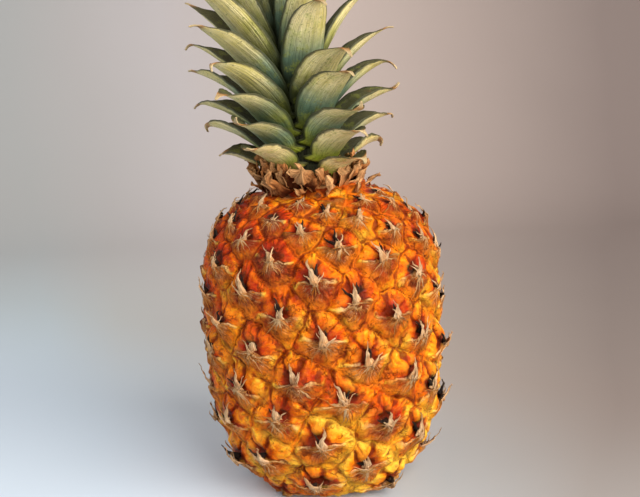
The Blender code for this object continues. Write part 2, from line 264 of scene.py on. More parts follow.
def eye_area(z):
    """Area of an eye at a height: largest at the base, smallest under the crown."""
    t = np.clip(z / FRUIT_HEIGHT, 0, 1)
    down, up = np.maximum(0, 0.5 - t) * 2, np.maximum(0, t - 0.5) * 2
    return EYE_AREA * (1 + EYE_GROWTH_DOWN * down**2 - EYE_SHRINK_UP * up**2)


heights = np.linspace(-BEYOND, FRUIT_HEIGHT + BEYOND, 601)
radii = barrel_radius(heights)
steps = np.hypot(np.diff(heights), np.diff(radii))
mid_radii, mid_heights = (radii[1:] + radii[:-1]) / 2, (heights[1:] + heights[:-1]) / 2
turns = np.concatenate([[0], np.cumsum(steps / mid_radii)])  # the map's other axis, in radians
counts = np.concatenate([[0], np.cumsum(2 * np.pi * mid_radii * steps / eye_area(mid_heights))])

key_count = np.interp(KEY_EYE_AT, heights, counts)
eye_numbers = np.arange(math.ceil(-key_count), int(counts[-1] - key_count))
eye_turns = np.interp(key_count + eye_numbers, counts, turns)
eye_heights = np.interp(eye_turns, turns, heights)
eye_twists = np.array([table_value(EYE_TWIST, z / FRUIT_HEIGHT) for z in eye_heights])
eye_angles = KEY_EYE_ANGLE - GOLDEN_ANGLE * eye_numbers + np.radians(eye_twists)
eye_sizes = np.sqrt(eye_area(eye_heights) / EYE_AREA)  # 1 at mid height
whole_eyes = [i for i, z in enumerate(eye_heights) if 5 * MM < z < FRUIT_HEIGHT - 1.5 * MM]
print("eyes that show whole:", len(whole_eyes))

# %% Each eye's own small differences
grown = np.random.default_rng(5)
eye_spins = np.radians(grown.uniform(-9, 9, len(eye_numbers)))
eye_shifts = grown.uniform(-0.09, 0.09, (len(eye_numbers), 2))  # of the bract's root, in eye radii
eye_tints = grown.uniform(0, 1, (len(eye_numbers), 3))
how_low = 1 - np.clip(eye_heights / FRUIT_HEIGHT, 0, 1)
eye_tints[:, 0] = 0.55 * eye_tints[:, 0] + 0.45 * how_low  # low bracts droop most
print("spin of the first eye, degrees:", round(math.degrees(eye_spins[0]), 1))

# %% [markdown]
# ## The rind
# Each eye has two halves. Above is a ring of three fat golden lobes with fine pleats at
# the rim. Below, a bract rises like a tent to the middle of the eye, where its dry tip
# breaks free, and a little dark pit lies behind that tip. The grooves are cut sharply in
# some stretches and are soft valleys in others. A grid of points round the barrel is raised
# by a formula of its place in its own eye. Plain arrays do that in one pass, and each point
# keeps its place in the eye, and how far it lies below its surroundings, for the colours.

# %% A point's place in its eye
RIND_COLUMNS, RIND_ROWS = 424, 226
EYE_RADIUS = 11.3 * MM  # of an eye of the mid size, taken as a disc


def soft_noise(points, scale, seed=0.0):
    """Smooth noise between -1 and 1 at each point, with bumps about 1 / scale across."""
    shift = Vector((seed, seed * 1.7, seed * 0.6))
    return np.array([noise.noise(Vector(p) * scale + shift) for p in points])


def groove_wander(points, seed):
    """How far a groove strays sideways, in metres."""
    return 2.1 * MM * soft_noise(points, 105, seed) + 1.0 * MM * soft_noise(points, 320, seed + 1)


def place_in_eye(angle, z):
    """For points of the barrel: eye number, place in the eye, distance to its groove."""
    radius = barrel_radius(z)
    turn = np.interp(z, heights, turns)
    points = np.stack([radius * np.cos(angle), radius * np.sin(angle), z], axis=1)
    wander = 1.0 / radius  # the grooves wander a little, as grown things do
    map_angle = angle + wander * groove_wander(points, 3)
    map_turn = turn + wander * groove_wander(points, 8)
    across = map_angle[:, None] - eye_angles[None, :]
    across = (across + np.pi) % (2 * np.pi) - np.pi
    along = map_turn[:, None] - eye_turns[None, :]
    distances = across**2 + along**2
    order = np.argpartition(distances, 8, axis=1)[:, :9]
    rows = np.arange(len(z))
    eye = order[rows, np.argmin(distances[rows[:, None], order], axis=1)]
    here_across, here_along = across[rows, eye], along[rows, eye]
    groove = np.full(len(z), np.inf)
    for column in range(order.shape[1]):
        other = order[:, column]
        gap = np.hypot(across[rows, other] - here_across, along[rows, other] - here_along)
        with np.errstate(divide="ignore", invalid="ignore"):
            to_border = (distances[rows, other] - distances[rows, eye]) / (2 * gap)
        groove = np.minimum(groove, np.where(other == eye, np.inf, to_border))
    size = eye_sizes[eye] * EYE_RADIUS
    x, y = here_across * radius / size, here_along * radius / size
    spin = eye_spins[eye]
    u = x * np.cos(spin) + y * np.sin(spin) - eye_shifts[eye, 0]
    v = y * np.cos(spin) - x * np.sin(spin) - eye_shifts[eye, 1]
    return eye, u, v, groove * radius


print("an eye is about", round(2 * EYE_RADIUS / MM), "mm across")

# %% How high the rind stands
BRACT_EDGE, LEAST_DROOP, DROOP_SPREAD = -0.03, -0.14, 0.55  # of the bract's torn edge, in eye radii
CREASES, CREASE_SHIFT = (0.36, 0.66), 0.08  # bearings of the lobes' two creases, in half turns
# heights and depths in mm on an eye of the mid size; low eyes are flatter
SHARP_CUT, LOW_CUT, VALLEY, DOME, LOW_DOME = 0.85, 0.55, 0.35, 1.9, 0.9
BRACT, TENT, LEDGE, PIT, CREASE, PLEAT, LUMPS, SMALL_LUMPS = 0.15, 1.3, 0.7, 2.0, 1.3, 0.20, 1.4, 0.5


def rise_between(value, low, high):
    """0 below low, 1 above high, smooth between."""
    t = np.clip((value - low) / (high - low), 0, 1)
    return t * t * (3 - 2 * t)


def bract_edge(u, eye):
    """Height in the eye of the bract's upper edge: its wings droop more in some eyes."""
    droop = LEAST_DROOP + DROOP_SPREAD * eye_tints[eye, 0]
    return BRACT_EDGE - droop * np.abs(u) + 0.03 * np.sin(9 * u + 40 * eye_tints[eye, 1])


def rind_relief(points, eye, u, v, groove):
    """Height above the barrel in metres."""
    far, bearing = np.hypot(u, v), np.arctan2(v, u)
    low = 1 - rise_between(points[:, 2], 12 * MM, 65 * MM)
    # some stretches of a groove are cut sharply, and others are soft valleys
    sharp = (SHARP_CUT - LOW_CUT * low) * rise_between(soft_noise(points, 75, 9), -0.25, 0.25)
    height = sharp * (1 - np.exp(-groove / (0.5 * MM))) + VALLEY * (1 - np.exp(-((groove / (1.2 * MM)) ** 2)))
    height += (DOME - LOW_DOME * low) * np.clip(1 - far**2, 0, 1)
    below = bract_edge(u, eye) - v
    bract = rise_between(below, -0.03, 0.04)
    lobes = 1 - bract
    tent = np.exp(-((u / (0.16 + 0.25 * np.clip(-v, 0, 1))) ** 2)) * rise_between(v, -0.95, -0.1)
    ledge = np.exp(-np.clip(below, 0, 1) / 0.16)
    height += bract * (BRACT + TENT * tent + LEDGE * ledge)
    pit = np.exp(-(((u + 0.10 * np.sign(eye_tints[eye, 2] - 0.3)) / 0.26) ** 2) - ((v - 0.12) / 0.17) ** 2)
    height -= lobes * PIT * pit
    for middle in CREASES:
        off = bearing - np.pi * (middle + CREASE_SHIFT * (eye_tints[eye, 1] - 0.5))
        height -= lobes * CREASE * np.exp(-((off / 0.14) ** 2)) * rise_between(far, 0.15, 0.45)
    pleats = np.cos(bearing * (16 + np.round(4 * eye_tints[eye, 1])) + 2 * soft_noise(points, 260, 5))
    rim = rise_between(far, 0.45, 0.75) * rise_between(groove, 0.2 * MM, 1.2 * MM)
    height += lobes * PLEAT * pleats * rim
    height += LUMPS * soft_noise(points, 165, 1) + SMALL_LUMPS * soft_noise(points, 420, 2)
    return height * eye_sizes[eye] * MM


print("bract edge at the middle of an eye:", round(float(bract_edge(np.zeros(1), np.zeros(1, int))[0]), 3))

# %% Helpers for meshes
def mesh_object(name, points, faces):
    """A smooth-shaded mesh object from arrays of points and faces."""
    mesh = bpy.data.meshes.new(name)
    mesh.from_pydata(points, [], faces)
    mesh.shade_smooth()
    made = bpy.data.objects.new(name, mesh)
    bpy.context.scene.collection.objects.link(made)
    return made


def add_attribute(mesh, name, kind, values):
    """Stores one value for each point of a mesh: FLOAT or FLOAT_VECTOR."""
    attribute = mesh.attributes.new(name, kind, "POINT")
    key = "value" if kind == "FLOAT" else "vector"
    attribute.data.foreach_set(key, np.ascontiguousarray(values, dtype=np.float32).ravel())


print("mesh helpers ready")

# %% Loops of faces, and hollows
def bridge(lower, upper, flip=False):
    """Quads between two loops with as many points each."""
    count = len(lower)
    quads = [(lower[i], lower[(i + 1) % count], upper[(i + 1) % count], upper[i]) for i in range(count)]
    return [quad[::-1] for quad in quads] if flip else quads


def close_end(points, loop, rings, bearings, flip):
    """Carries a loop on through rings of (radius, height) to a single point."""
    faces = []
    for radius, height in rings[:-1]:
        start = len(points)
        points += [(radius * math.cos(b), radius * math.sin(b), height) for b in bearings]
        following = range(start, start + len(bearings))
        faces += bridge(loop, following, flip)
        loop = following
    pole = len(points)
    points.append((0, 0, rings[-1][1]))
    fan = [(loop[i], loop[(i + 1) % len(loop)], pole) for i in range(len(loop))]
    return faces + ([face[::-1] for face in fan] if flip else fan)


def hollows(relief):
    """How far each point lies below the mean of its surroundings, in mm: creases come out high."""
    mean = relief
    for step in (2, 3):
        mean = (np.roll(mean, -step, axis=1) + mean + np.roll(mean, step, axis=1)) / 3
        padded = np.pad(mean, ((step, step), (0, 0)), mode="edge")
        mean = (padded[:-2 * step] + padded[step:-step] + padded[2 * step:]) / 3
    return ((mean - relief) / MM).ravel()


print("a bridge between two loops of 4 has", len(bridge(range(4), range(4, 8))), "faces")

# %% The rind's grid of points
POCKET_RADIUS, POCKET_DEPTH = 11.3 * MM, 9.3 * MM  # the stalk sits in it


def build_rind():
    """The fruit's outside as one closed mesh, with the pocket for the stalk below."""
    inside = (heights >= 0) & (heights <= FRUIT_HEIGHT)
    lengths = np.concatenate([[0], np.cumsum(steps)])
    spaced = np.linspace(lengths[inside][0], lengths[inside][-1], RIND_ROWS)
    row_heights = np.clip(np.interp(spaced, lengths, heights), 0, FRUIT_HEIGHT)
    row_heights[0], row_heights[-1] = 0, FRUIT_HEIGHT
    bearings = np.linspace(0, 2 * np.pi, RIND_COLUMNS, endpoint=False)
    z, angle = (a.ravel() for a in np.meshgrid(row_heights, bearings, indexing="ij"))
    eye, u, v, groove = place_in_eye(angle, z)
    radius, slope = barrel_radius(z), barrel_slope(z)
    skin = np.stack([radius * np.cos(angle), radius * np.sin(angle), z], axis=1)
    normal = np.stack([np.cos(angle), np.sin(angle), -slope], axis=1)
    normal /= np.linalg.norm(normal, axis=1, keepdims=True)
    fade = rise_between(z, 0, 5 * MM) * rise_between(FRUIT_HEIGHT - z, 0, 3 * MM)
    relief = rind_relief(skin, eye, u, v, groove) * fade
    skin += normal * relief[:, None]
    skin[:, 2] = np.maximum(skin[:, 2], 0)
    pocket = [(POCKET_RADIUS, 0), (POCKET_RADIUS, POCKET_DEPTH), (0, POCKET_DEPTH)]
    seat = [(SEAT_RADIUS, SEAT_HEIGHT), (0, SEAT_HEIGHT)]
    points, faces = list(map(tuple, skin)), []
    loops = [range(i * RIND_COLUMNS, (i + 1) * RIND_COLUMNS) for i in range(RIND_ROWS)]
    for lower, upper in zip(loops, loops[1:]):
        faces += bridge(lower, upper)
    for first, end, flip in ((loops[0], pocket, True), (loops[-1], seat, False)):
        faces += close_end(points, first, end, bearings, flip)
    rind = mesh_object("rind", points, faces)
    hollow = hollows(relief.reshape(RIND_ROWS, RIND_COLUMNS))
    for name, kind, values in (("eye_place", "FLOAT_VECTOR", np.stack([u, v, groove / MM], axis=1)),
                               ("hollow", "FLOAT", hollow), ("eye_tint", "FLOAT_VECTOR", eye_tints[eye])):
        spare = np.zeros((len(points) - len(skin), *values.shape[1:]))
        add_attribute(rind.data, name, kind, np.concatenate([values, spare]))
    return rind


rind = build_rind()
print("rind faces:", len(rind.data.polygons))

# %% [markdown]
# ## Effects that several finishes share
# Old and dry parts of a plant are blotched, and every leaf and bract has long fibres. Both
# effects are shader groups: made once, then placed in each finish with values of its own.
# A group gives back only a mask, so that each finish keeps its own shader.

# %% Shader group: blotches
SOCKET_KINDS = {bool: "NodeSocketBool", int: "NodeSocketInt", float: "NodeSocketFloat"}
VECTOR, GEOMETRY = "NodeSocketVector", "NodeSocketGeometry"


def new_group(name, kind, inputs, output, output_kind):
    """A node group with named inputs, each with its default or else its kind of socket."""
    tree = bpy.data.node_groups.new(name, kind)
    for label, default in inputs.items():
        socket_kind = SOCKET_KINDS.get(type(default))
        socket = tree.interface.new_socket(label, in_out="INPUT", socket_type=socket_kind or default)
        if socket_kind:
            socket.default_value = default
    tree.interface.new_socket(output, in_out="OUTPUT", socket_type=output_kind)
    given = {socket.name: Value(socket) for socket in tree.nodes.new("NodeGroupInput").outputs if socket.name}
    return tree, given, tree.nodes.new("NodeGroupOutput").inputs[output]


def shader_group(name, **inputs):
    """A shader group that gives back one mask."""
    return new_group(name, "ShaderNodeTree", {"Place": VECTOR, **inputs}, "Mask", "NodeSocketFloat")


def build_blotches():
    """Soft-edged patches: Cover is the share of the surface that they take."""
    tree, given, result = shader_group("Blotches", Scale=100.0, Cover=0.3, Soft=0.08)
    patches = noise_of(given["Place"], given["Scale"], 5, 0.6, 0.4)
    # the noise seldom leaves 0.25 to 0.75, so the cover is measured over that stretch
    edge = given["Cover"] * -0.5 + 0.75
    feed(smooth(patches, edge - given["Soft"], edge + given["Soft"]), result)
    return tree


blotches = build_blotches()
print("group:", blotches.name)

# %% Shader group: fibres
def build_fibres():
    """Long fine lines along the y axis of Place, x being the way across."""
    tree, given, result = shader_group("Fibres", Lines=12.0, Stretch=0.08)
    x, y, z = parts_of(given["Place"])
    place = joined(x * given["Lines"], y * (given["Lines"] * given["Stretch"]), z)
    feed(smooth(noise_of(place, 1, 3, 0.65), 0.35, 0.65), result)
    return tree


def masked(group, **values):
    """Places a shader group in a material and gives back its mask."""
    return put(values["Place"].tree, "ShaderNodeGroup", values, "Mask", node_tree=group)


fibres = build_fibres()
print("group:", fibres.name)

# %% A new material
def new_material(name, roughness, specular):
    """A Principled material, with its constants on the shader's own sockets."""
    material = bpy.data.materials.new(name)
    material.use_nodes = True
    inputs = material.node_tree.nodes["Principled BSDF"].inputs
    inputs["Roughness"].default_value = roughness
    inputs["Specular IOR Level"].default_value = specular
    return material, material.node_tree


def connect(material, colour, relief=None, depth=0.0, strength=1.0, rough=None):
    """Feeds the shader its colour, its relief through a Bump node, and its roughness."""
    inputs = material.node_tree.nodes["Principled BSDF"].inputs
    feed(colour, inputs["Base Color"])
    if rough is not None:
        feed(rough, inputs["Roughness"])
    if relief is not None:
        bump = {"Height": relief, "Strength": strength, "Distance": depth}
        feed(put(relief.tree, "ShaderNodeBump", bump), inputs["Normal"])
    return material


def attribute(tree, name, take="Fac"):
    """An attribute of the mesh: Fac reads it as a number, and Vector as a vector."""
    return put(tree, "ShaderNodeAttribute", take=take, attribute_name=name)


def object_place(tree):
    """Object coordinates."""
    return put(tree, "ShaderNodeTexCoord", take="Object")


print("material helpers ready")

# %% [markdown]
# ## The finish of the rind
# The colour of each point comes from its place in its eye. The lobes go from red-brown at
# the pit through orange to a golden rim, and a ripe eye still keeps its red middle. The
# bract is browner, under a fan of pale fibres that spread from the root of its dry tip. One
# side of a fruit ripens first, so the whole barrel also shifts slowly from red to gold.

# %% What the finish knows about each point
GOLD, YELLOW, ORANGE = (0.95, 0.36, 0.010), (0.95, 0.52, 0.040), (0.88, 0.21, 0.002)
DEEP_ORANGE, RED, RED_BROWN = (0.66, 0.095, 0.001), (0.40, 0.019, 0.001), (0.15, 0.014, 0.001)
DARK_BROWN, OLIVE = (0.030, 0.010, 0.004), (0.13, 0.085, 0.006)
BRACT_ORANGE, BRACT_BROWN, FIBRE_CREAM = (0.76, 0.18, 0.010), (0.33, 0.045, 0.004), (0.95, 0.62, 0.30)
RAGGED = 0.30  # how far a noise shifts the edges inside an eye, in eye radii
GROOVE_FAR = 0.86  # how far from its middle an eye's groove mostly lies


def ripeness(where, tint):
    """How golden a place is: more so on the +X side and low down, and by the eye's own tint."""
    x, _, z = parts_of(where)
    return x * 3.6 + 0.10 - z * 2.8 + centred(noise_of(where, 38, 2), 1.2) + centred(tint, 0.26)


def eye_facts(tree):
    """Each point's place in its eye, its ripeness, and the noises that break up the colours."""
    at = SimpleNamespace(tree=tree, where=object_place(tree))
    u, v, at.groove = parts_of(attribute(tree, "eye_place", "Vector"))
    at.tint_a, at.tint_b, at.tint_c = parts_of(attribute(tree, "eye_tint", "Vector"))
    at.slow, at.mid_slow = noise_of(at.where, 70, 3), noise_of(at.where, 110, 4)
    at.mid, at.quick = noise_of(at.where, 190, 5, 0.6), noise_of(at.where, 520, 6, 0.7)
    shake_u, shake_v, _ = parts_of(at.mid.beside("Color"))
    at.u, at.v = u + centred(shake_u, RAGGED), v + centred(shake_v, RAGGED)
    at.bearing = calc("ARCTAN2", at.v, at.u)
    # a face between two eyes has one end in each, so its place in the eye isn't used there
    at.inside = smooth(at.groove, 0.75, 1.3)
    far = (at.u * at.u + at.v * at.v) ** 0.5
    at.far = (far - GROOVE_FAR) * at.inside + GROOVE_FAR
    at.ripe = ripeness(at.where, at.tint_b)
    # the bract ends at its torn edge, and the lobes show above that
    at.above = at.v - (BRACT_EDGE - abs(at.u) * (at.tint_a * DROOP_SPREAD + LEAST_DROOP))
    return at


print("rind colours go from", RED_BROWN, "to", YELLOW)

# %% Finish of the rind: lobes and bract
def lobe_colour(at):
    """Red-brown at the pit, orange, then a pleated golden rim, all broken up by noise."""
    ripe = at.ripe * (smooth(at.far, 0.15, 0.75) * 0.65 + 0.35)  # tells least in the eye's middle
    spread = at.far + ripe + at.slow * 1.1 - 0.57 + centred(at.mid, 0.8) + centred(at.quick, 0.5)
    colour = ramp(spread, [(0.0, RED_BROWN), (0.17, RED), (0.36, DEEP_ORANGE), (0.62, ORANGE),
                           (0.90, GOLD), (1.0, YELLOW)])
    pleats, rim = calc("SINE", at.bearing * 21.0 + at.mid * 9.0), smooth(at.far, 0.5, 0.85)
    return paint(colour, smooth(pleats, 0.1, -0.9) * rim * 0.55, DEEP_ORANGE), pleats * rim * at.inside


def bract_colour(at):
    """Orange to brown, under a fan of cream fibres that thins out away from the tip."""
    place = joined(at.bearing, at.far, at.tint_b * 7.0)
    fan = masked(fibres, Place=place, Lines=15.0, Stretch=0.10)
    fine = masked(fibres, Place=place, Lines=34.0, Stretch=0.07)
    tone = at.far * 0.85 + at.ripe + centred(at.mid, 1.3) + centred(at.slow, 0.9)
    colour = ramp(tone, [(0.05, BRACT_BROWN), (0.38, BRACT_ORANGE), (0.66, ORANGE), (0.92, GOLD)])
    colour = paint(colour, smooth(fan, 0.42, 0.1) * smooth(at.far, 1.0, 0.3) * 0.8, RED_BROWN)
    near = smooth(at.far + centred(at.quick, 0.5), 0.85, 0.15)
    colour = paint(colour, smooth(fine, 0.5, 0.9) * (near * 0.7 + 0.02), FIBRE_CREAM)
    return colour, (fan + fine) * at.inside


print("lobes and bract have their colours")

# %% Finish of the rind: torn edge, creases and pit
def torn_edge(at, lobes, bract):
    """The bract over the lobes: a crisp pale line at its torn edge, with a painted shadow above it."""
    colour = paint(lobes, smooth(at.above, 0.025, -0.025), bract)
    # painted shadow: a dark band just above the bract's torn edge
    gap = smooth(at.above, 0.10, 0.03) * smooth(at.above, 0.005, 0.03) * at.inside
    gap = gap * smooth(at.far + centred(at.slow, 1.2), 1.0, 0.45)
    colour = paint(colour, gap * 0.9, DARK_BROWN)
    outer = smooth(abs(at.u), 0.35, 0.95)
    line = smooth(abs(at.above + 0.02) / (outer * 0.09 + 0.045), 1.0, 0.3) * at.inside
    line = line * smooth(outer * 0.1 + at.mid, 0.38, 0.55)
    return paint(colour, line * 0.8, paint(FIBRE_CREAM, outer, YELLOW)), line


def creases_and_pit(at, colour):
    """The creases that part three lobes, and the dark pit to one side behind the dry tip."""
    for middle in CREASES:
        off = at.bearing - ((at.tint_b - 0.5) * CREASE_SHIFT + middle) * math.pi
        off = abs(off) + centred(at.quick, 0.25)
        crease = smooth(off, 0.16, 0.02) * smooth(at.far, 0.2, 0.5) * at.inside
        colour = paint(colour, crease * 0.55, RED_BROWN)
    across, up = (calc("SIGN", at.tint_c - 0.3) * 0.12 + at.u) / 0.30, (at.v - 0.17) / 0.26
    pit = across * across + up * up + centred(at.quick, 2.4) + at.tint_b * 0.7 + (1.0 - at.inside) * 9.0
    colour = paint(colour, smooth(pit, 4.2, 1.0) * 0.65, RED_BROWN)
    return paint(colour, smooth(pit, 1.6, 0.6), DARK_BROWN)


print("an eye has", len(CREASES), "creases")

# %% [markdown]
# The skin is marked as well, by flushes, bruises and pimples. The grooves have golden banks
# where the fruit is ripe, painted shade that darkens them most where it isn't, and a thin seam
# along some stretches. By the grid's `hollow` attribute, creases get a browner painted shade
# and bulges a lighter gold where ripe, partly painted light. Thin wrinkles lie where a slow
# noise passes its middle value.

# %% Finish of the rind: marks, grooves and folds
def stain(at, colour):
    """Red flushes and brown bruises, most of all on the unripe side, and small red pimples."""
    flush = masked(blotches, Place=at.where, Scale=130.0, Cover=0.42, Soft=0.07)
    colour = paint(colour, flush * smooth(at.ripe, 0.5, -0.3) * 0.6, RED)
    bruise = masked(blotches, Place=at.where, Scale=230.0, Cover=0.33, Soft=0.04)
    bruise = bruise * smooth(at.ripe + centred(at.slow, 0.8), 0.25, -0.35)
    colour = paint(colour, bruise * 0.85, RED_BROWN)
    spots = put(at.tree, "ShaderNodeTexVoronoi", {"Vector": at.where, "Scale": 150}, "Distance", feature="F1")
    pimples = smooth(spots + centred(at.quick, 0.25), 0.30, 0.16) * smooth(at.slow, 0.48, 0.56)
    return paint(colour, pimples * 0.7, RED), pimples


def colour_grooves(at, colour, cut):
    """Golden banks, painted shade along the grooves, most where the fruit is unripe, and a seam in some
    stretches.
    """
    bank = smooth(cut, 3.6, 1.2) * smooth(at.ripe + centred(at.mid_slow, 1.6), -0.15, 0.35)
    colour = paint(colour, bank * 0.75, YELLOW)
    unripe = smooth(at.ripe, 0.45, -0.15)
    # painted shade: a soft brown darkening along the grooves, strongest where unripe
    groove_shade = smooth(cut, 2.2, 0.2) * smooth(at.mid_slow, 0.44, 0.60) * (unripe * 0.46 + 0.10)
    colour = paint(colour, groove_shade, RED_BROWN)
    seam = smooth(cut, 0.75, 0.15) * smooth(at.slow, 0.38, 0.56) * (unripe * 0.50 + 0.35)
    return paint(colour, seam, paint(RED_BROWN, smooth(at.ripe, -0.1, 0.4), OLIVE)), seam


def colour_folds(at, colour, cut):
    """Painted shade in the creases, lighter gold on the bulges where ripe, partly painted light, thin
    wrinkles and fine specks.
    """
    hollow = attribute(at.tree, "hollow") + centred(at.quick, 0.35)
    # painted shade: browner where the skin lies below its surroundings, most near the grooves
    colour = paint(colour, smooth(hollow, 0.05, 0.60) * (smooth(cut, 0.5, 1.8) * 0.7 + 0.1), RED_BROWN)
    # lighter gold on the bulges where ripe: partly ripe colour, partly painted light
    bulge_gold_and_light = smooth(hollow, -0.05, -0.55) * smooth(at.ripe, -0.6, 0.3)
    colour = paint(colour, bulge_gold_and_light * 0.22, YELLOW)
    off_middle = abs(noise_of(at.where, 125, 4, 0.6) - 0.5)
    wrinkles = smooth(off_middle, 0.024, 0.003) * smooth(at.mid_slow, 0.45, 0.60)
    colour = paint(colour, wrinkles * 0.55, RED_BROWN)
    return paint(colour, smooth(at.quick, 0.60, 0.70) * 0.6, RED_BROWN), wrinkles


print("marks, grooves and folds have their colours")

# %% Finish of the rind, put together
def build_rind_finish():
    """Lobes and bract, then the marks, then roughness and a relief that goes with the colours."""
    material, tree = new_material("rind", 0.40, 0.11)
    at = eye_facts(tree)
    lobes, pleats = lobe_colour(at)
    bract, fan = bract_colour(at)
    colour, line = torn_edge(at, lobes, bract)
    colour, pimples = stain(at, creases_and_pit(at, colour))
    cut = at.groove + centred(at.mid, 1.0)
    colour, seam = colour_grooves(at, colour, cut)
    colour, wrinkles = colour_folds(at, colour, cut)
    rough = smooth(at.above, 0.0, -0.1) * 0.30 + at.quick * 0.2 + 0.24
    relief = at.quick + at.mid * 1.5 + pleats * 0.30 + fan * smooth(at.above, 0.02, -0.05) * 0.4
    relief = relief + pimples * 0.5 + line * 0.5 - wrinkles * 0.6 - seam * 0.6
    return connect(material, colour, relief, 0.9 * MM, rough=rough)


rind.data.materials.append(build_rind_finish())
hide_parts("fruit")
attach(rind, "root")
print("rind finished")

# %% [markdown]
# ## Dry tips, fibres and strips: one Geometry Nodes tree
# The dead tip of a bract, the fibres that fan below it, the shreds along its wings, the
# black withered petal behind it and the scales of the collar are all slips: thin blades that
# stand on a point, lean away from the skin and curl. Geometry Nodes suit that well: one tree
# sets slips on points, and each use gives it other sizes. Every point brings its own frame
# as two attributes, the way outwards and the way upwards, and its size.

# %% Helpers for Geometry Nodes
def geometry_group(name, inputs):
    """A Geometry Nodes tree."""
    return new_group(name, "GeometryNodeTree", inputs, "Geometry", GEOMETRY)


def then(geometry, kind, inputs=None, **settings):
    """Passes a geometry on through one more node."""
    return put(geometry.tree, "GeometryNode" + kind, {"Geometry": geometry, **(inputs or {})}, **settings)


def store(geometry, name, value):
    """Keeps a number for each point under a name."""
    inputs = {"Name": name, "Value": value}
    return then(geometry, "StoreNamedAttribute", inputs, data_type="FLOAT", domain="POINT")


def named(tree, name, kind="FLOAT"):
    """Reads a named attribute."""
    return put(tree, "GeometryNodeInputNamedAttribute", {"Name": name}, "Attribute", data_type=kind)


def random_between(low, high, seed, salt):
    """A random number for each point; salt keeps the draws of one tree apart."""
    inputs = {2: low, 3: high, 8: seed + float(salt)}
    return put(seed.tree, "FunctionNodeRandomValue", inputs, take=1, data_type="FLOAT")


def curve_of(value, points):
    """A Float Curve through (position, height) points."""
    made = put(value.tree, "ShaderNodeFloatCurve", {"Value": value})
    mapping = made.socket.node.mapping
    curve = mapping.curves[0]
    curve.points[0].location, curve.points[-1].location = points[0], points[-1]
    for position, height in points[1:-1]:
        curve.points.new(position, height)
    mapping.update()
    return made


print("geometry helpers ready")

# %% Geometry Nodes: the shape of one slip
SLIP_INPUTS = {
    "Geometry": GEOMETRY, "Copies": 1, "Keep": 1.0, "Length": 8 * MM, "Length Spread": 0.2, "Width": 4 * MM,
    "Aim": 0.0, "Aim Spread": 0.2, "Tilt": 0.6, "Tilt Spread": 0.1, "Curl": -0.5, "Cup": 0.15, "Blunt": 0.0,
    "Wander": 1 * MM, "Start": VECTOR, "Clings": False, "Stand Off": 0.2 * MM, "Along Count": 9,
    "Across Count": 4, "Skin": "NodeSocketObject", "Seed": 1, "Material": "NodeSocketMaterial",
}
POINTED = [(0, 1.0), (0.12, 0.93), (0.40, 0.50), (0.75, 0.21), (1, 0.03)]  # width from root to tip
BLUNT = [(0, 0.75), (0.3, 1.0), (0.7, 0.95), (0.9, 0.70), (1, 0.40)]


def slip_shape(tree, given):
    """One slip of unit size: along +Y from the origin, curled up towards +Z, tapered to a point."""
    sheet = put(tree, "GeometryNodeMeshGrid", {"Vertices X": given["Across Count"],
                                               "Vertices Y": given["Along Count"]})
    x, y, _ = parts_of(put(tree, "GeometryNodeInputPosition"))
    along = y + 0.5
    sheet = store(store(sheet, "along", along), "across", x * 2.0)
    pointed = curve_of(along, POINTED)
    taper = (curve_of(along, BLUNT) - pointed) * given["Blunt"] + pointed
    turned = along * given["Curl"]
    reach = calc("SINE", turned) / given["Curl"]
    lift = (1.0 - calc("COSINE", turned)) / given["Curl"]
    cup = x * x * (given["Cup"] * 4.0)
    return then(sheet, "SetPosition", {"Position": joined(x * taper, reach, lift + cup * taper)})


print("slip inputs:", len(SLIP_INPUTS))

# %% Geometry Nodes: a slip on each point
def slips_on_points(tree, given, seed):
    """Copies and thins out the points, and sets a slip on each in the point's own frame."""
    points = then(given["Geometry"], "DuplicateElements", {"Amount": given["Copies"]}, domain="POINT")
    chance = random_between(0.0, 1.0, seed, 10)
    dropped = put(tree, "FunctionNodeCompare", [chance, given["Keep"]], operation="GREATER_THAN")
    points = then(points, "DeleteGeometry", {"Selection": dropped}, domain="POINT")
    out, up = [named(tree, label, "FLOAT_VECTOR") for label in ("outwards", "upwards")]
    size = named(tree, "size")
    x, y, z = parts_of(given["Start"])
    shift = vector_calc("ADD", scaled(vector_calc("CROSS_PRODUCT", up, out), x), scaled(up, y))
    shift = scaled(vector_calc("ADD", shift, scaled(out, z)), size)
    points = then(points, "SetPosition", {"Offset": shift})
    aim, tilt = [given[label] + random_between(spread * -1.0, spread, seed, salt) for label, spread, salt in (
        ("Aim", given["Aim Spread"], 20), ("Tilt", given["Tilt Spread"], 30))]
    facing = put(tree, "FunctionNodeAxesToRotation", [out, up], primary_axis="Z", secondary_axis="Y")
    for turn in (joined(0.0, 0.0, aim), joined(tilt, 0.0, 0.0)):
        turn = put(tree, "FunctionNodeEulerToRotation", [turn])
        facing = put(tree, "FunctionNodeRotateRotation", [facing, turn], rotation_space="LOCAL")
    spread = given["Length Spread"]
    length = given["Length"] * random_between(1.0 - spread, spread + 1.0, seed, 40) * size
    points = store(points, "tone", random_between(0.0, 1.0, seed, 50))
    slips = put(tree, "GeometryNodeInstanceOnPoints", {
        "Points": points, "Instance": slip_shape(tree, given), "Rotation": facing,
        "Scale": joined(given["Width"] * size, length, length)})
    return then(slips, "RealizeInstances")


print("slips are thinned out, placed, turned and stretched")

# %% Geometry Nodes: the tree of the slips
NOISE_STEP = 0.013  # how far the bending noise moves on from one seed to the next, in metres


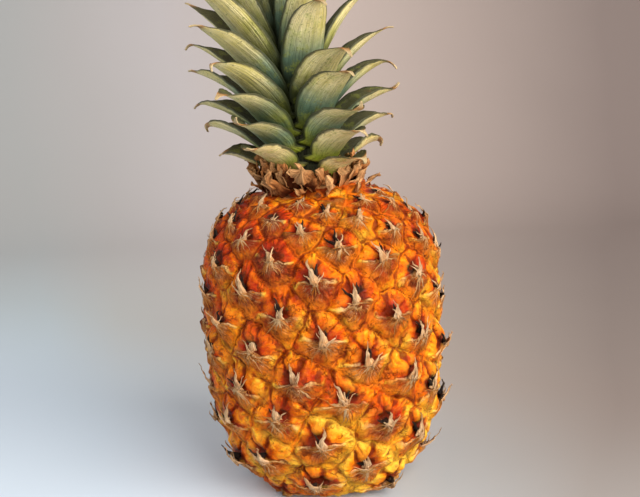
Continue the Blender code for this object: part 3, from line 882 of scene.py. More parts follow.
def build_slip_tree():
    """The slips on their points, bent by a noise and, where they cling, laid on the skin."""
    tree, given, result = geometry_group("Slips on points", SLIP_INPUTS)
    seed = given["Seed"]
    slips = slips_on_points(tree, given, seed)
    # the noise bends the tip of a slip most
    position = put(tree, "GeometryNodeInputPosition")
    place = vector_calc("ADD", position, scaled(joined(seed, seed, seed), NOISE_STEP))
    waves = vector_calc("SUBTRACT", noise_of(place, 260, 2, 0.5).beside("Color"), (0.5, 0.5, 0.5))
    reach = named(tree, "along") * (given["Wander"] * 4.0)
    slips = then(slips, "SetPosition", {"Offset": scaled(waves, reach)})
    skin = put(tree, "GeometryNodeObjectInfo", {"Object": given["Skin"]}, "Geometry")
    nearest = put(tree, "GeometryNodeProximity", [skin], "Position", target_element="FACES")
    normal = {"Mesh": skin, "Value": put(tree, "GeometryNodeInputNormal")}
    normal = put(tree, "GeometryNodeSampleNearestSurface", normal, data_type="FLOAT_VECTOR")
    laid = vector_calc("ADD", nearest, scaled(normal, given["Stand Off"]))
    slips = then(slips, "SetPosition", {"Selection": given["Clings"], "Position": laid})
    feed(then(slips, "SetMaterial", {"Material": given["Material"]}), result)
    return tree


slip_tree = build_slip_tree()
print("nodes in the slip tree:", len(slip_tree.nodes))

# %% Run a tree and keep the result as a plain mesh
def grow(name, tree, points_object, thickness, **sizes):
    """Runs a Geometry Nodes tree on an object and returns its result as a finished piece."""
    modifier = points_object.modifiers.new("grown", "NODES")
    modifier.node_group = tree
    for item in tree.interface.items_tree:
        label = item.name.replace(" ", "_")
        if item.in_out == "INPUT" and label in sizes:
            modifier[item.identifier] = sizes[label]
    if thickness:
        solid = points_object.modifiers.new("thickness", "SOLIDIFY")
        solid.thickness, solid.offset = thickness, 0
    evaluated = points_object.evaluated_get(bpy.context.evaluated_depsgraph_get())
    mesh = bpy.data.meshes.new_from_object(evaluated)
    mesh.name = name
    mesh.shade_smooth()
    piece = bpy.data.objects.new(name, mesh)
    bpy.context.scene.collection.objects.link(piece)
    points_object.modifiers.clear()
    return piece


def add_points(name, places, outwards, upwards, sizes):
    """An object of loose points, each with its own frame and size."""
    points = mesh_object(name, [tuple(p) for p in places], [])
    add_attribute(points.data, "outwards", "FLOAT_VECTOR", np.array(outwards))
    add_attribute(points.data, "upwards", "FLOAT_VECTOR", np.array(upwards))
    add_attribute(points.data, "size", "FLOAT", np.array(sizes))
    return points


print("slips can be grown")

# %% Points at the roots of the bract tips
def eye_frame(i):
    """Where the bract's tip of eye i breaks free, the way out of the skin there, and the way up."""
    angle, z = eye_angles[i], eye_heights[i]
    slope = float(barrel_slope(np.array(z)))
    out = Vector((math.cos(angle), math.sin(angle), -slope)).normalized()
    side = Vector((-math.sin(angle), math.cos(angle), 0))
    up = out.cross(side)
    side_turned = side * math.cos(eye_spins[i]) + up * math.sin(eye_spins[i])
    up_turned = up * math.cos(eye_spins[i]) - side * math.sin(eye_spins[i])
    radius = float(barrel_radius(np.array(z)))
    root = Vector((radius * math.cos(angle), radius * math.sin(angle), z))
    reach = eye_sizes[i] * EYE_RADIUS
    root += (side_turned * eye_shifts[i, 0] + up_turned * (eye_shifts[i, 1] - 0.06)) * reach
    return root, out, up_turned


skin_tree = BVHTree.FromObject(rind, bpy.context.evaluated_depsgraph_get())
tip_frames = []
for i in whole_eyes:
    root, out, up = eye_frame(i)
    hit = skin_tree.ray_cast(root + out * 12 * MM, -out)[0]
    tip_frames.append((hit or root, out, up, float(eye_sizes[i])))
eye_points = add_points("eye_points", *zip(*tip_frames))
print("bract tips:", len(tip_frames))

# %% [markdown]
# ## Finishes for the dry parts
# Dead bract is papery: cream where it is thick, brown where it has frayed, with fibres that
# run its whole length. Every slip carries how far along and across it a point is, so one
# builder makes the pale tips, the scales of the collar and the black strips by colour alone.

# %% Finish: dry and papery
def build_papery(name, root, middle, tip, stain_colour, spread, roughness=0.8):
    """Colours from root to tip, stained in places, with lengthwise fibres as fine relief."""
    material, tree = new_material(name, roughness, 0.1)
    where = object_place(tree)
    along, across, tone = [attribute(tree, key) for key in ("along", "across", "tone")]
    lines = masked(fibres, Place=joined(across, along, tone * 9.0), Lines=5.0, Stretch=0.25)
    rough = noise_of(where, 500, 5, 0.5)
    place = along + centred(rough, 0.5) + centred(tone, spread)
    colour = ramp(place, [(0.0, root), (0.45, middle), (0.95, tip)])
    colour = paint(colour, 1.0, lines * 0.45 + 0.62, "MULTIPLY")
    stained = masked(blotches, Place=where, Scale=190.0, Cover=0.30, Soft=0.10)
    colour = paint(colour, stained * 0.7, stain_colour)
    return connect(material, colour, rough * 0.6 + lines, 0.35 * MM, 0.9)


tip_finish = build_papery("dry_tip", (0.70, 0.36, 0.15), (0.86, 0.58, 0.33), (0.70, 0.42, 0.21),
                          (0.40, 0.15, 0.05), 0.6)
fibre_finish = build_papery("dry_fibre", (0.86, 0.55, 0.28), (0.80, 0.35, 0.10), (0.70, 0.19, 0.02),
                            (0.46, 0.13, 0.03), 0.9)
strip_finish = build_papery("withered_strip", (0.030, 0.014, 0.008), (0.016, 0.010, 0.008),
                            (0.05, 0.035, 0.025), (0.075, 0.035, 0.020), 0.4, 0.6)
print("papery finishes:", tip_finish.name, fibre_finish.name, strip_finish.name)

# %% [markdown]
# Each eye gets one broad dead tip, with slivers round its root and withered strips behind
# it. The fibres below the tip and the shreds along the bract's two wings lie on the skin:
# they share one set of sizes for slips that cling, and only their number, length, width and
# bearing differ. The aim of a slip is its turn from straight up.

# %% Slips at every eye
TIPS = dict(Keep=0.97, Length=9.6 * MM, Length_Spread=0.28, Width=4.4 * MM, Aim=0.06, Aim_Spread=0.5,
            Tilt=0.50, Tilt_Spread=0.26, Curl=-0.8, Cup=-0.10, Wander=1.5 * MM, Start=(0.0, -0.9 * MM, 0.0),
            Seed=3, Material=tip_finish, Along_Count=14, Across_Count=6)
SLIVERS = dict(Copies=5, Keep=0.85, Length=5.4 * MM, Length_Spread=0.5, Width=1.3 * MM, Aim_Spread=0.85,
               Tilt=0.34, Tilt_Spread=0.28, Curl=-0.7, Wander=1.4 * MM, Start=(0.0, -0.7 * MM, 0.0),
               Seed=14, Material=tip_finish, Along_Count=7, Across_Count=3)
STRIPS = dict(Copies=2, Keep=0.6, Length=6.5 * MM, Length_Spread=0.4, Width=2.3 * MM, Aim=0.5,
              Aim_Spread=0.8, Tilt=0.22, Tilt_Spread=0.2, Curl=-0.4, Cup=-0.3, Wander=1.3 * MM,
              Start=(0.0, 0.8 * MM, -0.3 * MM), Seed=41, Material=strip_finish, Along_Count=9, Across_Count=4)
CLINGING = dict(Tilt=0.0, Tilt_Spread=0.02, Curl=0.05, Clings=True, Skin=rind, Material=fibre_finish,
                Across_Count=2)
FIBRES = dict(CLINGING, Copies=13, Keep=0.9, Length=7.8 * MM, Length_Spread=0.5, Width=1.0 * MM, Aim=math.pi,
              Aim_Spread=0.95, Wander=1.5 * MM, Seed=27, Stand_Off=0.12 * MM, Along_Count=8)
WINGS = dict(CLINGING, Copies=3, Keep=0.7, Length=8.0 * MM, Length_Spread=0.4, Width=0.8 * MM,
             Aim_Spread=0.35, Wander=2.0 * MM, Stand_Off=0.14 * MM, Along_Count=10)
SLIPS = [("bract_tips", 0.24 * MM, TIPS), ("bract_slivers", 0.18 * MM, SLIVERS),
         ("bract_fibres", 0.16 * MM, FIBRES), ("bract_wings", 0.16 * MM, dict(WINGS, Aim=1.75, Seed=61)),
         ("bract_far_wings", 0.16 * MM, dict(WINGS, Aim=-1.75, Seed=73)),
         ("withered_strips", 0.4 * MM, STRIPS)]

for name, thickness, sizes in SLIPS:
    piece = grow(name, slip_tree, eye_points, thickness, **sizes)
    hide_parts("fruit")
    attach(piece, "root")
    print(piece.name, "faces:", len(piece.data.polygons))
bpy.data.objects.remove(eye_points)

# %% [markdown]
# ## The crown's leaves
# All 42 leaves follow one rule, so one Geometry Nodes tree makes them, with other numbers
# for each. A leaf starts at the stem, leans further out along its length, and its cross
# section is a thin lens bent round a circle: a tight channel that clasps the stem, opening
# towards the tip. A small extra hook curls the dry tip. The tree works along the leaf with
# an Accumulate Field node, which adds up the little steps that the leaf takes.

# %% Geometry Nodes: the inputs of a leaf
LEAF_INPUTS = {
    "Length": 45 * MM, "Width": 20 * MM, "Root Width": 0.7, "Thickness": 1.1 * MM, "Out": 12 * MM,
    "Height": 20 * MM, "Bearing": 0.0, "Start Lean": 0.7, "End Lean": 1.6, "Lean Ease": 1.25, "Hook": 1.0,
    "Hook At": 0.86, "Side Hook": 0.0, "Sway": 0.0, "Twist": 0.0, "Ripple": 0.6 * MM, "Seat": VECTOR,
    "Drift": VECTOR, "Seed": 0.0, "Rows": 46, "Columns": 29, "Material": "NodeSocketMaterial",
}
LEAF_OUTLINE = [(0, 0.0), (0.12, 0.78), (0.33, 1.0), (0.6, 0.90), (0.78, 0.62), (0.88, 0.24),
                (0.95, 0.085), (1, 0.045)]
FLATTEST_LEAN = math.radians(72)
CHANNEL_ROOT, CHANNEL_TIP = 17 * MM, 9 * MM  # radius of the channel, where the stem leaves it free
SECTION_FULLNESS = 0.75  # below 1 the lens of the cross section has fuller edges
print("leaf inputs:", len(LEAF_INPUTS))

# %% Geometry Nodes: the line of a leaf
def leaf_grid(tree, given):
    """Rows run along the leaf, and columns once round its lens-shaped cross section."""
    sheet = put(tree, "GeometryNodeMeshGrid", {"Vertices X": given["Columns"], "Vertices Y": given["Rows"]})
    x, y, _ = parts_of(put(tree, "GeometryNodeInputPosition"))
    last_row, last_column = given["Rows"] - 1.0, given["Columns"] - 1.0
    row = calc("ROUND", (y + 0.5) * last_row)
    column = calc("ROUND", (x + 0.5) * last_column)
    return sheet, row, last_row, column, column / last_column * (2 * math.pi)


def leaf_line(tree, given, row, last_row, column):
    """For each row: share of the length, lean, place of the leaf's middle line and its bend aside."""
    def share_of(count):
        """Share of the length after so many rows, with finer rows towards the tip."""
        passed = calc("MAXIMUM", count, 0.0) / (last_row - 1.0)
        return 1.0 - (1.0 - calc("MINIMUM", passed, 1.0)) ** 1.25

    def lean_at(place):
        """Angle from upright at a share of the length, with the hook of the tip."""
        lean = place ** given["Lean Ease"] * (given["End Lean"] - given["Start Lean"]) + given["Start Lean"]
        hooked = smooth(place, given["Hook At"], 1.0)
        return hooked * given["Hook"] + lean, hooked

    group = put(tree, "FunctionNodeFloatToInt", [column])

    def added_up(value):
        """The sum of a value over the rows so far, each column by itself."""
        inputs = {0: value, "Group ID": group}
        return put(tree, "GeometryNodeAccumulateField", inputs, data_type="FLOAT", domain="POINT")

    share, share_before = share_of(row - 1.0), share_of(row - 2.0)
    step = (share - share_before) * given["Length"]
    lean, hooked = lean_at(share)
    lean_between, _ = lean_at((share + share_before) * 0.5)
    out = given["Out"] + added_up(calc("SINE", lean_between) * step)
    up = given["Height"] + added_up(calc("COSINE", lean_between) * step)
    sway = share * share * (given["Sway"] * given["Length"])
    return share, lean, out, up, sway + added_up(hooked * given["Side Hook"] * step)


print("a leaf's line is added up from root to tip")

# %% Geometry Nodes: the cross section of a leaf
def leaf_section(given, share, lean, out, phase, is_open):
    """A lens of the leaf's thickness, bent round a circle: how far inward and sideways a point is."""
    across, side = calc("COSINE", phase), calc("SINE", phase)
    root = given["Root Width"] * smooth(share, 0.32, 0.0)
    half = given["Width"] * 0.5 * calc("MAXIMUM", curve_of(share, LEAF_OUTLINE), root) * is_open
    clasp = out / calc("COSINE", calc("MINIMUM", lean, FLATTEST_LEAN))
    channel = {"Value": share, "To Min": CHANNEL_ROOT, "To Max": CHANNEL_TIP}
    channel = put(share.tree, "ShaderNodeMapRange", channel, interpolation_type="SMOOTHSTEP")
    bend = calc("MINIMUM", clasp, channel)
    turn = half * across / bend
    lens = calc("SIGN", side) * abs(side) ** SECTION_FULLNESS
    thick = given["Thickness"] * (share * -0.55 + 1.0)
    radius = bend - thick * (lens * 0.5) * is_open
    inward, sideways = bend - radius * calc("COSINE", turn), radius * calc("SINE", turn)

    # slow ripples bend the whole blade, quick ones only its margins
    place = joined(share * 3.0, across, given["Seed"])
    slow, quick = noise_of(place, 1.0, 1, 0.5), noise_of(place, 3.5, 2, 0.5)
    ripple = (quick - 0.5) * (across * across * 1.6) + (slow - 0.5)
    ripple = ripple * given["Ripple"] * smooth(share, 0.05, 0.5)
    inward = ripple * is_open * 3.0 + inward

    # the twist turns the section about the leaf's own line
    twist = given["Twist"] * (share * share)
    cosine, sine = calc("COSINE", twist), calc("SINE", twist)
    return inward * cosine - sideways * sine, inward * sine + sideways * cosine, across, side


print("the channel's radius goes from", CHANNEL_ROOT / MM, "to", CHANNEL_TIP / MM, "mm")

# %% Geometry Nodes: the whole leaf
def build_leaf_tree():
    """Sets each point of the grid beside the leaf's line, and the whole leaf round the stem."""
    tree, given, result = geometry_group("Crown leaf", {"Geometry": GEOMETRY, **LEAF_INPUTS})
    sheet, row, last_row, column, phase = leaf_grid(tree, given)
    # the first row closes the root and the last one the tip, each drawn together to one point
    is_open = calc("GREATER_THAN", row, 0.5) * calc("LESS_THAN", row, last_row - 0.5)
    share, lean, out, up, aside = leaf_line(tree, given, row, last_row, column)
    inward, sideways, across, side = leaf_section(given, share, lean, out, phase, is_open)
    placed_up = up + inward * calc("SINE", lean)
    local = joined(out - inward * calc("COSINE", lean), aside + sideways, placed_up)
    place = put(tree, "ShaderNodeVectorRotate", {"Vector": local, "Angle": given["Bearing"]},
                rotation_type="Z_AXIS")
    place = vector_calc("ADD", place, scaled(given["Drift"], placed_up))
    place = vector_calc("ADD", place, given["Seat"])
    # the finish reads these, so they are stored while the sheet still has its rows
    for label, value in (("along", share), ("across", across), ("inner", side * 0.5 + 0.5),
                         ("tone", given["Seed"])):
        sheet = store(sheet, label, value)
    sheet = then(sheet, "SetPosition", {"Position": place})
    sheet = then(sheet, "MergeByDistance", {"Distance": 0.002 * MM})
    sheet = then(then(sheet, "RealizeInstances"), "SetMaterial", {"Material": given["Material"]})
    feed(sheet, result)
    return tree


leaf_tree = build_leaf_tree()
print("nodes in the leaf tree:", len(leaf_tree.nodes))

# %% [markdown]
# The lowest leaves are short, wide and spread flat, and the inner ones are long, narrow and
# upright. Tables with a few values along the crown hold that rule. The hook, the sway and
# the twist are drawn at random from a fixed seed, so that no two leaves match.

# %% The numbers of each leaf
LEAF_COUNT = 42
STEM_HEIGHT, STEM_BASE_RADIUS, STEM_TIP_RADIUS, STEM_EASE = 60 * MM, 15.5 * MM, 2.6 * MM, 0.8
FIRST_LEAF_ANGLE = math.radians(-50)
LEAF_TURN = math.radians(144.5)  # from each leaf to the next, so that rows of five show
LOWEST_LEAF_AT, HIGHEST_LEAF_AT = 3.8 * MM, 57 * MM
LEAF_GAP = 0.3 * MM
CROWN_DRIFT = (-0.13, 0.02, 0)  # the crown leans: drift in x and y per unit of height
LEAF_LENGTH = [(0, 25 * MM), (0.15, 36 * MM), (0.4, 47 * MM), (0.7, 59 * MM), (0.88, 68 * MM), (1, 66 * MM)]
LEAF_WIDTH = [(0, 21 * MM), (0.3, 23 * MM), (0.65, 21 * MM), (0.82, 14 * MM), (1, 7.5 * MM)]
LEAF_START = [(0, 54), (0.2, 50), (0.45, 40), (0.7, 25), (0.88, 12), (1, 3)]  # degrees from upright
LEAF_END = [(0, 88), (0.2, 84), (0.45, 72), (0.7, 54), (0.88, 29), (1, 9)]
LEAF_THICK = [(0, 1.2 * MM), (0.5, 1.0 * MM), (1, 0.75 * MM)]
ROOT_WIDTH = [(0, 0.86), (0.4, 0.72), (0.7, 0.62), (1, 0.62)]  # share of the leaf's widest
BROADER_ROOT, THICKER = 1.2, 1.15  # the blade's own sizes against those tables
HOOK_RANGE, HOOK_AT_RANGE, SIDE_HOOK, SWAY, TWIST = (0.5, 2.6), (0.80, 0.90), 1.3, 0.06, 0.45


def leaf_sizes(number, tilts, grown):
    """The inputs of the leaf tree for one leaf, counted from the lowest."""
    place = number / (LEAF_COUNT - 1)
    height = LOWEST_LEAF_AT + (HIGHEST_LEAF_AT - LOWEST_LEAF_AT) * place
    stem = STEM_BASE_RADIUS + (STEM_TIP_RADIUS - STEM_BASE_RADIUS) * (height / STEM_HEIGHT) ** STEM_EASE
    thickness = table_value(LEAF_THICK, place)
    tilt = tilts.uniform(-1, 1)
    outer = 1 - place  # hooks and ripples fade towards the young leaves in the middle
    return {
        "Length": table_value(LEAF_LENGTH, place), "Width": table_value(LEAF_WIDTH, place),
        "Root_Width": BROADER_ROOT * table_value(ROOT_WIDTH, place), "Thickness": thickness * THICKER,
        "Out": stem + LEAF_GAP + thickness, "Height": height,
        "Bearing": FIRST_LEAF_ANGLE - LEAF_TURN * number,
        "Start_Lean": math.radians(table_value(LEAF_START, place) + tilt),
        "End_Lean": math.radians(table_value(LEAF_END, place) + tilt),
        "Hook": grown.uniform(*HOOK_RANGE) * (0.25 + 0.75 * outer) * grown.choice((1, 1, 1, -0.5)),
        "Hook_At": grown.uniform(*HOOK_AT_RANGE), "Side_Hook": grown.uniform(-SIDE_HOOK, SIDE_HOOK) * outer,
        "Sway": grown.uniform(-SWAY, SWAY), "Twist": grown.uniform(-TWIST, TWIST),
        "Ripple": (0.2 + 0.2 * outer) * MM, "Seat": CROWN_SEAT, "Seed": number * 1.0, "Drift": CROWN_DRIFT,
    }


print("lowest leaf is", round(table_value(LEAF_LENGTH, 0) / MM), "mm long")

# %% [markdown]
# ## The finish of the leaves
# A leaf is grey-green under a dusty beige bloom, with a teal tint painted as shade low in
# the crown, a yellow-green root and a dead tan tip. Far down between the inner leaves it is
# painted nearly black as shade. Fine streaks run its whole length, and dark specks and thin
# dark margins, partly painted shade, cover both faces. The upper face is a plainer, deeper
# green, painted darker still as shade. Each leaf's own number sets its age: the lowest ones
# have faded most.

# %% Colour of the leaves
LEAF_ROOT, LEAF_GREEN = (0.36, 0.42, 0.03), (0.37, 0.41, 0.06)
GREY_GREEN, BEIGE_GREEN = (0.56, 0.50, 0.13), (0.72, 0.58, 0.17)
BLOOM, TEAL_SHADE, DEEP_GREEN_AND_SHADE = (0.90, 0.77, 0.41), (0.09, 0.22, 0.17), (0.020, 0.028, 0.008)
FADED, RECESS_SHADE = (0.66, 0.47, 0.14), (0.003, 0.007, 0.004)
DEAD_TAN, DEAD_ORANGE, MARGIN = (0.66, 0.50, 0.26), (0.42, 0.17, 0.035), (0.022, 0.028, 0.009)


def leaf_facts(tree):
    """Each point's place on its leaf, the leaf's age, and the noises that break up the colours."""
    at = SimpleNamespace(tree=tree, where=object_place(tree))
    at.along, at.across, at.inner, at.number = [
        attribute(tree, key) for key in ("along", "across", "inner", "tone")]
    at.age = smooth(at.number, 14.0, 0.0)
    at.slow, at.mid = noise_of(at.where, 75, 3), noise_of(at.where, 220, 5, 0.6)
    at.quick = noise_of(at.where, 900, 5, 0.7)
    sheet = joined(at.across, at.along, at.number * 3.7)
    at.streaks = masked(fibres, Place=sheet, Lines=9.0, Stretch=0.16)
    at.fine = masked(fibres, Place=sheet, Lines=30.0, Stretch=0.10)
    return at


def living_colour(at):
    """Green from root to tip under a dusty bloom, with a teal tint and near-black hollows painted as shade;
    the upper face is plainer and darker, partly painted shade.
    """
    length = at.along + centred(at.slow, 0.35)
    green = ramp(length, [(0.02, LEAF_ROOT), (0.24, LEAF_GREEN), (0.52, GREY_GREEN), (0.85, BEIGE_GREEN)])
    dusty = centred(at.mid, 1.2) + centred(at.slow, 1.4) + at.streaks * 0.35 + at.age * 0.35
    dusty = smooth(dusty, -0.35, 0.55) * smooth(at.along, 0.12, 0.5)
    colour = paint(green, dusty * 0.85, BLOOM)
    faded = smooth(centred(at.mid, 1.0) + centred(at.slow, 1.2), -0.25, 0.3)
    colour = paint(colour, faded * at.age * 0.75, FADED)
    chance = put(at.tree, "ShaderNodeTexWhiteNoise", {"W": at.number}, noise_dimensions="1D")
    # painted shade: a teal tint on the lower half of the younger leaves
    teal_shade_mask = smooth(at.along, 0.72, 0.30) * smooth(at.along, 0.04, 0.22) * smooth(at.age, 0.9, 0.3)
    teal_shade_mask = teal_shade_mask * smooth(at.slow + chance * 0.3, 0.42, 0.75)
    colour = paint(colour, teal_shade_mask * 0.85, TEAL_SHADE)
    # painted shade: near black low on the inner leaves, far down in the crown
    recess_shade_mask = smooth(length, 0.54, 0.14) * smooth(at.number, 8.0, 20.0)
    colour = paint(colour, recess_shade_mask * 0.92, RECESS_SHADE)
    # the upper face: a deeper green, painted near black as shade
    return paint(colour, smooth(at.inner, 0.55, 0.75) * 0.9, DEEP_GREEN_AND_SHADE)


print("leaf colours go from", RECESS_SHADE, "to", BLOOM)

# %% Finish: leaves
def build_leaf_finish():
    """The living colour with streaks, specks, rusty marks, a dark margin, partly painted shade, and a dead
    tip.
    """
    material, tree = new_material("leaf", 0.5, 0.35)
    at = leaf_facts(tree)
    rust = masked(blotches, Place=at.where, Scale=170.0, Cover=0.11, Soft=0.03)
    edge = abs(at.across) + centred(at.mid, 0.16)
    dying = at.along + centred(at.mid, 0.14) + at.age * 0.06
    colour = living_colour(at)
    for mask, over in (
            (smooth(at.fine, 0.55, 0.1) * 0.35, DEEP_GREEN_AND_SHADE),
            (smooth(at.quick + centred(at.mid, 0.35), 0.56, 0.68) * 0.65, MARGIN),
            (smooth(at.mid + centred(at.quick, 0.4), 0.52, 0.66) * 0.35, LEAF_GREEN),
            (rust * (at.age * 0.6 + 0.25), DEAD_ORANGE),
            # the dark margin: partly the leaf's own edge, partly painted shade along it
            (smooth(edge, 0.83, 0.95) * 0.92, MARGIN),
            (smooth(dying, 0.86, 0.93), DEAD_ORANGE),
            (smooth(dying, 0.90, 0.97), DEAD_TAN)):
        colour = paint(colour, mask, over)
    relief = at.streaks * 0.8 + at.fine * 0.4 + at.mid * 1.2
    return connect(material, colour, relief, 0.35 * MM, 0.8, at.mid * 0.35 + 0.32)


leaf_finish = build_leaf_finish()
tilts, grown_leaves = random.Random(3), random.Random(19)
for number in range(LEAF_COUNT):
    seed_object = mesh_object("leaf_seed", [(0, 0, 0)], [])
    blade = grow(f"blade_{number + 1:02d}", leaf_tree, seed_object, 0, Material=leaf_finish,
                 **leaf_sizes(number, tilts, grown_leaves))
    bpy.data.objects.remove(seed_object)
    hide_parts(f"leaf_{number + 1:02d}")
    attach(blade, "root")
print("blade faces:", len(blade.data.polygons))

# %% [markdown]
# ## The collar, the stem and the stalk
# Under the crown sit rows of small dead leaves, folded and torn like brown paper. They are
# slips too, only broader, on points that climb the neck by the same golden angle, with their
# roots painted darker as shade far down in the collar. The crown's stem stays as it was
# packed, and so does the cut stalk under the fruit: they get fibrous finishes of their own,
# the stem's painted near black as shade between the leaves.

# %% The collar's dry scales
COLLAR_SCALES = 78
NECK_RADIUS, COLLAR_BASE, COLLAR_RISE = 18.8 * MM, -3.2 * MM, 8.0 * MM
NECK_TAPER, SCALE_SHRINK = 0.35, 0.25  # of the neck with height, and of the scales from low to high


def collar_points(count):
    """Points in a spiral up the neck, each with its way outwards and upwards."""
    rows = []
    for i in range(count):
        share = (i + 0.5) / count
        angle = GOLDEN_ANGLE * i
        height = COLLAR_BASE + COLLAR_RISE * share
        radius = NECK_RADIUS - NECK_TAPER * max(0.0, height)
        out = Vector((math.cos(angle), math.sin(angle), 0))
        drift = Vector(CROWN_DRIFT) * max(0.0, height)
        place = out * radius + drift + Vector(CROWN_SEAT) + Vector((0, 0, height))
        rows.append((place, out, Vector((0, 0, 1)), 1.0 - SCALE_SHRINK * share))
    return add_points("collar_points", *zip(*rows))


# the scales' dark root colour is painted shade far down in the collar
scale_finish = build_papery("dry_scale", (0.10, 0.022, 0.005), (0.50, 0.19, 0.055), (0.68, 0.36, 0.15),
                            (0.09, 0.022, 0.008), 1.1)
points = collar_points(COLLAR_SCALES)
collar = grow("collar_scales", slip_tree, points, 0.4 * MM, Length=11.5 * MM, Length_Spread=0.45,
              Width=7.0 * MM, Blunt=0.45, Aim_Spread=0.9, Tilt=0.85, Tilt_Spread=0.65, Curl=-0.7, Cup=0.06,
              Wander=3.2 * MM, Seed=8, Material=scale_finish, Along_Count=9, Across_Count=7)
bpy.data.objects.remove(points)
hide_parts("crown_collar")
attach(collar, "root")
print("collar faces:", len(collar.data.polygons))

# %% Finishes of the stem and the stalk
def build_woody(name, pale, dark, lines, scale):
    """Fibrous flesh or stem: long fibres on the sides, blotched and stained."""
    material, tree = new_material(name, 0.75, 0.2)
    where = object_place(tree)
    x, y, z = parts_of(where)
    turned = joined(calc("ARCTAN2", y, x), z * 12.0, 0.0)
    grain = masked(fibres, Place=turned, Lines=lines, Stretch=0.2)
    spots = masked(blotches, Place=where, Scale=scale, Cover=0.4, Soft=0.12)
    colour = paint(paint(dark, grain, pale), spots * 0.6, dark)
    return connect(material, colour, grain + spots, 0.5 * MM)


def give_finish(node, material):
    """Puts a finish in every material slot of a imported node."""
    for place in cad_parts[node].material_slots:
        place.material = material


# the stem's near-black colours are painted shade between the leaves
give_finish("crown_stem", build_woody("stem", (0.03, 0.034, 0.010), (0.010, 0.009, 0.004), 9.0, 160.0))
give_finish("cut_stalk", build_woody("stalk", (0.52, 0.34, 0.16), (0.22, 0.11, 0.04), 12.0, 220.0))
print("stem and stalk finished")

# %% [markdown]
# ## Floor, light and camera
# The floor is a pale sheet that curves up behind into a backdrop with no edge. Its colour
# carries painted light and shade: it drifts from a cool left to a warm, darker right, and it
# changes with depth from the near floor to the wall. One broad soft light stands in front to
# the right, a weak cool one on the left keeps that side from going dark, and a pale sky fills
# the other shadows. The camera looks a little down, and is rolled by a few degrees.

# %% The sweep of the floor
FLOOR_HALF_WIDTH, FLOOR_FRONT, FLOOR_BACK = 1.6, -1.2, 0.55
SWEEP_RADIUS, WALL_HEIGHT, SWEEP_STEPS = 0.45, 1.6, 17
# painted light and shade on the backdrop: lighter and cooler on the left, darker and warmer on the right,
# changing with depth
WALL_LIGHT_AND_SHADE = [(0.03, (0.56, 0.58, 0.59)), (0.15, (0.60, 0.59, 0.60)), (0.28, (0.66, 0.63, 0.65)),
                (0.5, (0.70, 0.60, 0.56)), (0.98, (0.35, 0.29, 0.275))]
MIDDLE_LIGHT_AND_SHADE = [(0.03, (0.54, 0.64, 0.70)), (0.15, (0.55, 0.58, 0.58)), (0.3, (0.54, 0.53, 0.52)),
                  (0.5, (0.50, 0.45, 0.42)), (0.62, (0.42, 0.37, 0.34)), (0.98, (0.25, 0.21, 0.195))]
NEAR_LIGHT_AND_SHADE = [(0.1, (0.60, 0.70, 0.81)), (0.4, (0.66, 0.73, 0.82)), (0.7, (0.40, 0.445, 0.48)),
                (0.95, (0.32, 0.31, 0.305))]


def build_sweep():
    """A floor that bends up into a wall behind the fruit."""
    bend = [(FLOOR_BACK + SWEEP_RADIUS * math.sin(a), SWEEP_RADIUS * (1 - math.cos(a)))
            for a in np.linspace(0, math.pi / 2, SWEEP_STEPS)]
    profile = [(FLOOR_FRONT, 0.0)] + bend + [(FLOOR_BACK + SWEEP_RADIUS, SWEEP_RADIUS + WALL_HEIGHT)]
    points = [(x, y, z) for y, z in profile for x in (-FLOOR_HALF_WIDTH, FLOOR_HALF_WIDTH)]
    faces = [(2 * i, 2 * i + 1, 2 * i + 3, 2 * i + 2) for i in range(len(profile) - 1)]
    return mesh_object("floor", points, faces)


def build_floor_finish():
    """Painted light and shade: from left to right by the bearing from the front, and from near to far by
    depth.
    """
    material, tree = new_material("floor", 0.9, 0.1)
    where = object_place(tree)
    x, y, _ = parts_of(where)
    aside = x / calc("MAXIMUM", y + 0.41, 0.2) * 1.55 + 0.5 + centred(noise_of(where, 2.5, 3, 0.5), 0.15)
    colour = paint(ramp(aside, MIDDLE_LIGHT_AND_SHADE), smooth(y, 0.10, 0.75), ramp(aside, WALL_LIGHT_AND_SHADE))
    return connect(material, paint(ramp(aside, NEAR_LIGHT_AND_SHADE), smooth(x * 0.7 + y, -0.04, 0.20), colour))


floor = build_sweep()
floor.data.materials.append(build_floor_finish())
floor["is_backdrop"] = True
print("floor faces:", len(floor.data.polygons))

# %% Light
LIGHT_TARGET = Vector((0, 0, 100 * MM))


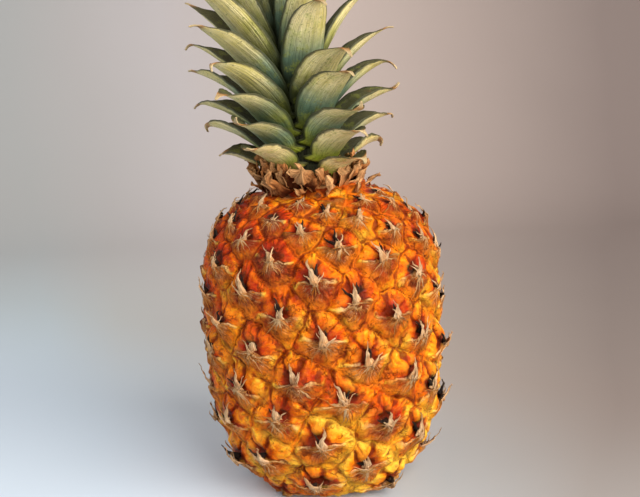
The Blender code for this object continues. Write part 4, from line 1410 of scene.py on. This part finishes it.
def add_light(name, place, size, power, colour):
    """A square area light that looks at the target."""
    data = bpy.data.lights.new(name, "AREA")
    data.size, data.energy, data.color = size, power, colour
    light = bpy.data.objects.new(name, data)
    bpy.context.scene.collection.objects.link(light)
    light.location = place
    light.rotation_mode = "QUATERNION"
    light.rotation_quaternion = (LIGHT_TARGET - light.location).to_track_quat("-Z", "Y")


def build_sky(colour, strength):
    """An even glow from all round."""
    world = bpy.data.worlds.new("sky")
    world.use_nodes = True
    background = world.node_tree.nodes["Background"]
    background.inputs["Color"].default_value = (*colour, 1)
    background.inputs["Strength"].default_value = strength
    bpy.context.scene.world = world


add_light("key", (0.42, -0.50, 0.42), 0.7, 11.1, (1.0, 0.95, 0.89))
add_light("fill", (-0.50, -0.10, 0.42), 0.6, 1.3, (0.92, 0.96, 1.0))
build_sky((0.88, 0.82, 0.76), 0.56)
bpy.context.scene.view_settings.view_transform = "Standard"

# %% Camera
VIEW_MIDDLE, VIEW_DISTANCE = Vector((0, 0, 76.2 * MM)), 426 * MM
ELEVATION, ROLL = math.radians(15.7), math.radians(-2.8)
LIFT = math.radians(3.88)  # the camera looks this far above the view's middle
SENSOR_WIDTH, FOCAL_LENGTH = 36, 53.64  # in mm


def build_camera():
    """In front of the fruit and a little above it, on a circle round the view's middle."""
    data = bpy.data.cameras.new("camera")
    data.sensor_width, data.lens = SENSOR_WIDTH, FOCAL_LENGTH
    camera = bpy.data.objects.new("camera", data)
    bpy.context.scene.collection.objects.link(camera)
    back = Vector((0, -math.cos(ELEVATION), math.sin(ELEVATION)))
    forward = Vector((0, math.cos(ELEVATION - LIFT), -math.sin(ELEVATION - LIFT)))
    camera.location = VIEW_MIDDLE + back * VIEW_DISTANCE
    camera.rotation_mode = "QUATERNION"
    camera.rotation_quaternion = forward.to_track_quat("-Z", "Y") @ Euler((0, 0, ROLL)).to_quaternion()
    bpy.context.scene.camera = camera
    return camera


camera = build_camera()
print("camera height in mm:", round(camera.location.z / MM))

# %% Both boxes
low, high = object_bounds()
sizes = {"cad": [list(cad_low), list(cad_high)], "visual": [list(low), list(high)]}
print("visual box in mm:", [round(v / MM, 1) for v in high - low])
